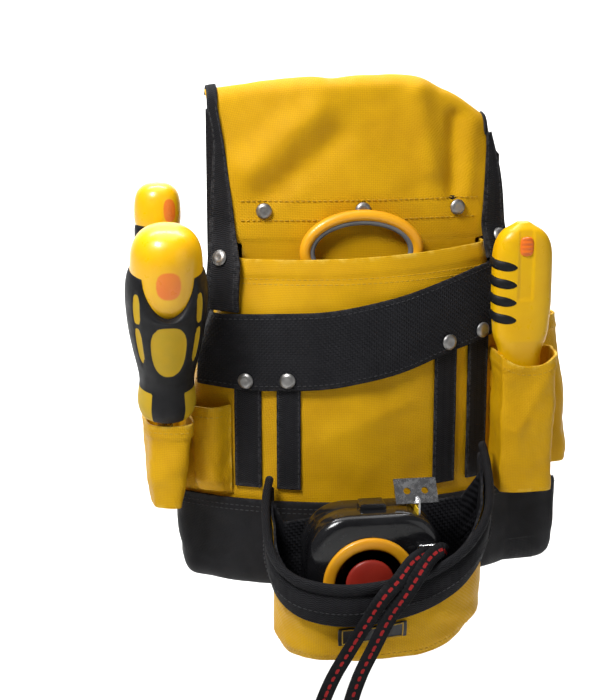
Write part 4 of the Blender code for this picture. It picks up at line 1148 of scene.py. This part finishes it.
def build_tape():
    levels = [(TAPE_EDGE - TAPE_EDGE * sin(a), TAPE_FRONT + TAPE_EDGE * (1 - cos(a)))
              for a in spread(0, pi / 2, 10)]
    levels += [(0.6 * exp(-(y / 0.5) ** 2), y) for y in (-8, -0.8, -0.3, 0.3, 0.8, 8)]
    levels += [(inset, -y) for inset, y in levels[:10]][::-1]
    rows = [[TAPE_CENTRE + Vector((x, y, z)) for x, z in
             rounded_loop(*(size - inset for size in TAPE_SIZES))] for inset, y in levels]
    piece("tape_case_shell", turn_out(solid("tape_case", rows)), "tape", "black_gloss_plastic",
          "tape_case_front", "tape_case_rear")
    face = (Matrix.Translation((TAPE_CENTRE + Vector((-4, -19.3, -1.5))) * MM)
            @ Matrix.Rotation(pi / 2, 4, "X"))
    ring = [(21.3, -0.6), (21.6, 0.8), (22.6, 1.6), (25, 1.9), (27.4, 1.6), (28.4, 0.6), (28.6, -0.6)]
    turned("tape_ring", ring[::-1], "tape", "orange_plastic", "tape_face_ring",
           slot="yellow_plastic", place=face)
    hub = [(0.1, 2.4), (3, 2.3), (9, 1.9), (13.6, 0.8), (14.8, -0.6)]
    turned("tape_centre", hub, "tape", "red_plastic", "tape_hub", place=face, steps=72)


# Route of the wrist strap: out of the anchor, over the rim, round the free loop, back.
STRAP_ROUTE = ((28, -108.5, -234.5), (22, -113, -231), (12, -120, -233),
               (2, -127.5, -241), (-8, -131, -250), (-16, -131.5, -262),
               (-27, -131.5, -280), (-38, -131, -300), (-46, -130.5, -322),
               (-51, -130, -345), (-52, -130, -362), (-48, -130, -375),
               (-40, -130, -381), (-33, -130, -374), (-30, -130, -360),
               (-29, -130, -344), (-28, -130.5, -322), (-22, -131, -300),
               (-13, -131.5, -280), (-4, -131.5, -262), (5, -130.5, -250),
               (14, -127, -238.5), (22, -120.5, -231), (30, -114, -229),
               (34, -108.5, -233.5))


def build_wrist_strap():
    """Flat webbing with a red line down its middle."""
    path = smooth_route(STRAP_ROUTE, 22)
    half, thick = STRAP_WIDTH / 2, 0.9
    gone = [0]
    for a, b in zip(path, path[1:]):
        gone.append(gone[-1] + dist(a, b))
    steps = (0, 0.9, 1.8, half - 0.5)
    section = ([(x, -thick) for x in steps] + [(half, 0)] + [(x, thick) for x in steps[::-1]]
               + [(-x, thick) for x in steps[1:]] + [(-half, 0)] + [(-x, -thick) for x in steps[:0:-1]])
    rows = []
    for i, spot in enumerate(path):
        along = along_path(path, i)
        facing = Vector((0, -1, 0.55 * ease((spot.z + 262) / 20)))
        facing = (facing - along * facing.dot(along)).normalized()
        side = along.cross(facing).normalized()
        rib = 1 + 0.3 * sin(2 * pi * gone[i] / STRAP_RIB)
        rows.append([spot + side * across - facing * deep * rib for across, deep in section])

    def line(r, i):
        dash = 1 if gone[r] % DASH_PITCH < DASH_LENGTH else 0.3
        return dash * max(0, 1 - abs(section[i][0]) / RED_HALF)
    obj = piece("wrist_strap_webbing", turn_out(solid("wrist_strap_webbing", rows, mask=line)), "tape",
                "wrist_webbing", "wrist_strap", slot="strap_webbing")


KEPT_NODES = dict.fromkeys(
    ("driver_front_shaft", "driver_rear_shaft", "knife_blade", "scissors_blade_a", "scissors_blade_b",
     "scissors_pivot_screw", "tape_hook", "tape_strap_anchor"), "tool_steel")
KEPT_NODES |= {"tape_blade": "tape_yellow_steel", "tape_spool": "tape_yellow_steel",
               "tape_lock_button": "black_gloss_plastic"}


def dress_kept_nodes():
    for name, look in KEPT_NODES.items():
        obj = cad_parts[name]
        if not obj.material_slots:
            obj.data.materials.append(None)
        for slot in obj.material_slots:
            slot.link = "OBJECT"
            slot.material = LOOKS[look]


# ---- camera and light

CAMERA_PLACE = Vector((-177.7, -943.8, 96.4))
CAMERA_TARGET = Vector((-41, -40, -123))
LENS = 79
SENSOR_HEIGHT = 36
COVE_START, COVE_TOP, FLOOR_FRONT, FLOOR_HALF = 1200, 6000, -5000, 6000
FLOOR_PALE = (0.8, 0.8, 0.79)
FLOOR_SHADE = (0.76, 0.76, 0.755)
SKY = (0.94, 0.95, 0.96, 1)
SKY_STRENGTH = 0.1
# name, place, target, power in watts and width in metres
LIGHTS = (("key", (-430, -430, 560), (-10, -40, -60), 9, 0.28),
          ("fill", (800, -900, 100), CAMERA_TARGET, 1.3, 0.9),
          ("top", (0, 100, 1000), CAMERA_TARGET, 4, 0.8),
          ("wash", (0, 900, 1700), (0, 2800, 0), 130, 1.6))


def put_in_scene(name, data, place, target):
    obj = bpy.data.objects.new(name, data)
    obj.location = Vector(place) * MM
    obj.rotation_euler = (Vector(target) - Vector(place)).to_track_quat("-Z", "Y").to_euler()
    bpy.context.scene.collection.objects.link(obj)
    return obj


def set_stage():
    bpy.context.scene.view_settings.view_transform = "Standard"
    camera = bpy.data.cameras.new("camera")
    camera.sensor_fit = "VERTICAL"
    camera.sensor_height = SENSOR_HEIGHT
    camera.lens = LENS
    bpy.context.scene.camera = put_in_scene("camera", camera, CAMERA_PLACE, CAMERA_TARGET)

    bm = bmesh.new()
    profile = [(FLOOR_FRONT, FLOOR_Z), (COVE_START, FLOOR_Z)]
    profile += [(COVE_START + COVE_RADIUS * sin(a), FLOOR_Z + COVE_RADIUS * (1 - cos(a)))
                for a in spread(0, pi / 2, 40)[1:]]
    profile += [(COVE_START + COVE_RADIUS, COVE_TOP)]
    lines = [[bm.verts.new(Vector((x, y, z)) * MM) for x in (-FLOOR_HALF, FLOOR_HALF)]
             for y, z in profile]
    for (a, b), (c, d) in zip(lines, lines[1:]):
        bm.faces.new((a, b, d, c)).smooth = True
    floor = bpy.data.objects.new("floor", settle(bm, bpy.data.meshes.new("floor"), False))
    ground = Look("floor", Roughness=0.9)
    ground.finish(ground.blend(ground.patches(900, 0.3, 0.7), FLOOR_PALE, FLOOR_SHADE))
    floor.data.materials.append(LOOKS["floor"])
    bpy.context.scene.collection.objects.link(floor)

    world = bpy.data.worlds.new("world")
    bpy.context.scene.world = world
    world.use_nodes = True
    sky = world.node_tree.nodes["Background"]
    sky.inputs["Color"].default_value = SKY
    sky.inputs["Strength"].default_value = SKY_STRENGTH
    for name, place, target, power, width in LIGHTS:
        light = bpy.data.lights.new(name, "AREA")
        light.energy = power
        light.size = width
        put_in_scene(name, light, place, target)


set_stage()
build_wrist_strap()
make_tunnel_panel()
make_padding()
make_side_webbing(-1, "left")
make_side_webbing(1, "right")
make_main_pocket()
make_boot()
make_band()
make_straps()
make_left_front_pocket()
make_side_pocket(-1, (-45, 17), ((-219, 134), (-166, 137)), "pocket_left_side")
make_side_pocket(1, (-10, 17), ((-212, 140), (-165, 138), (-113, 129)),
                 "pocket_right_side")
make_knife_pocket()
make_rim()
make_label(make_bag())
make_rivets()
build_front_driver()
build_rear_driver()
build_knife()
build_scissors()
build_tape()
build_stitches()
dress_kept_nodes()
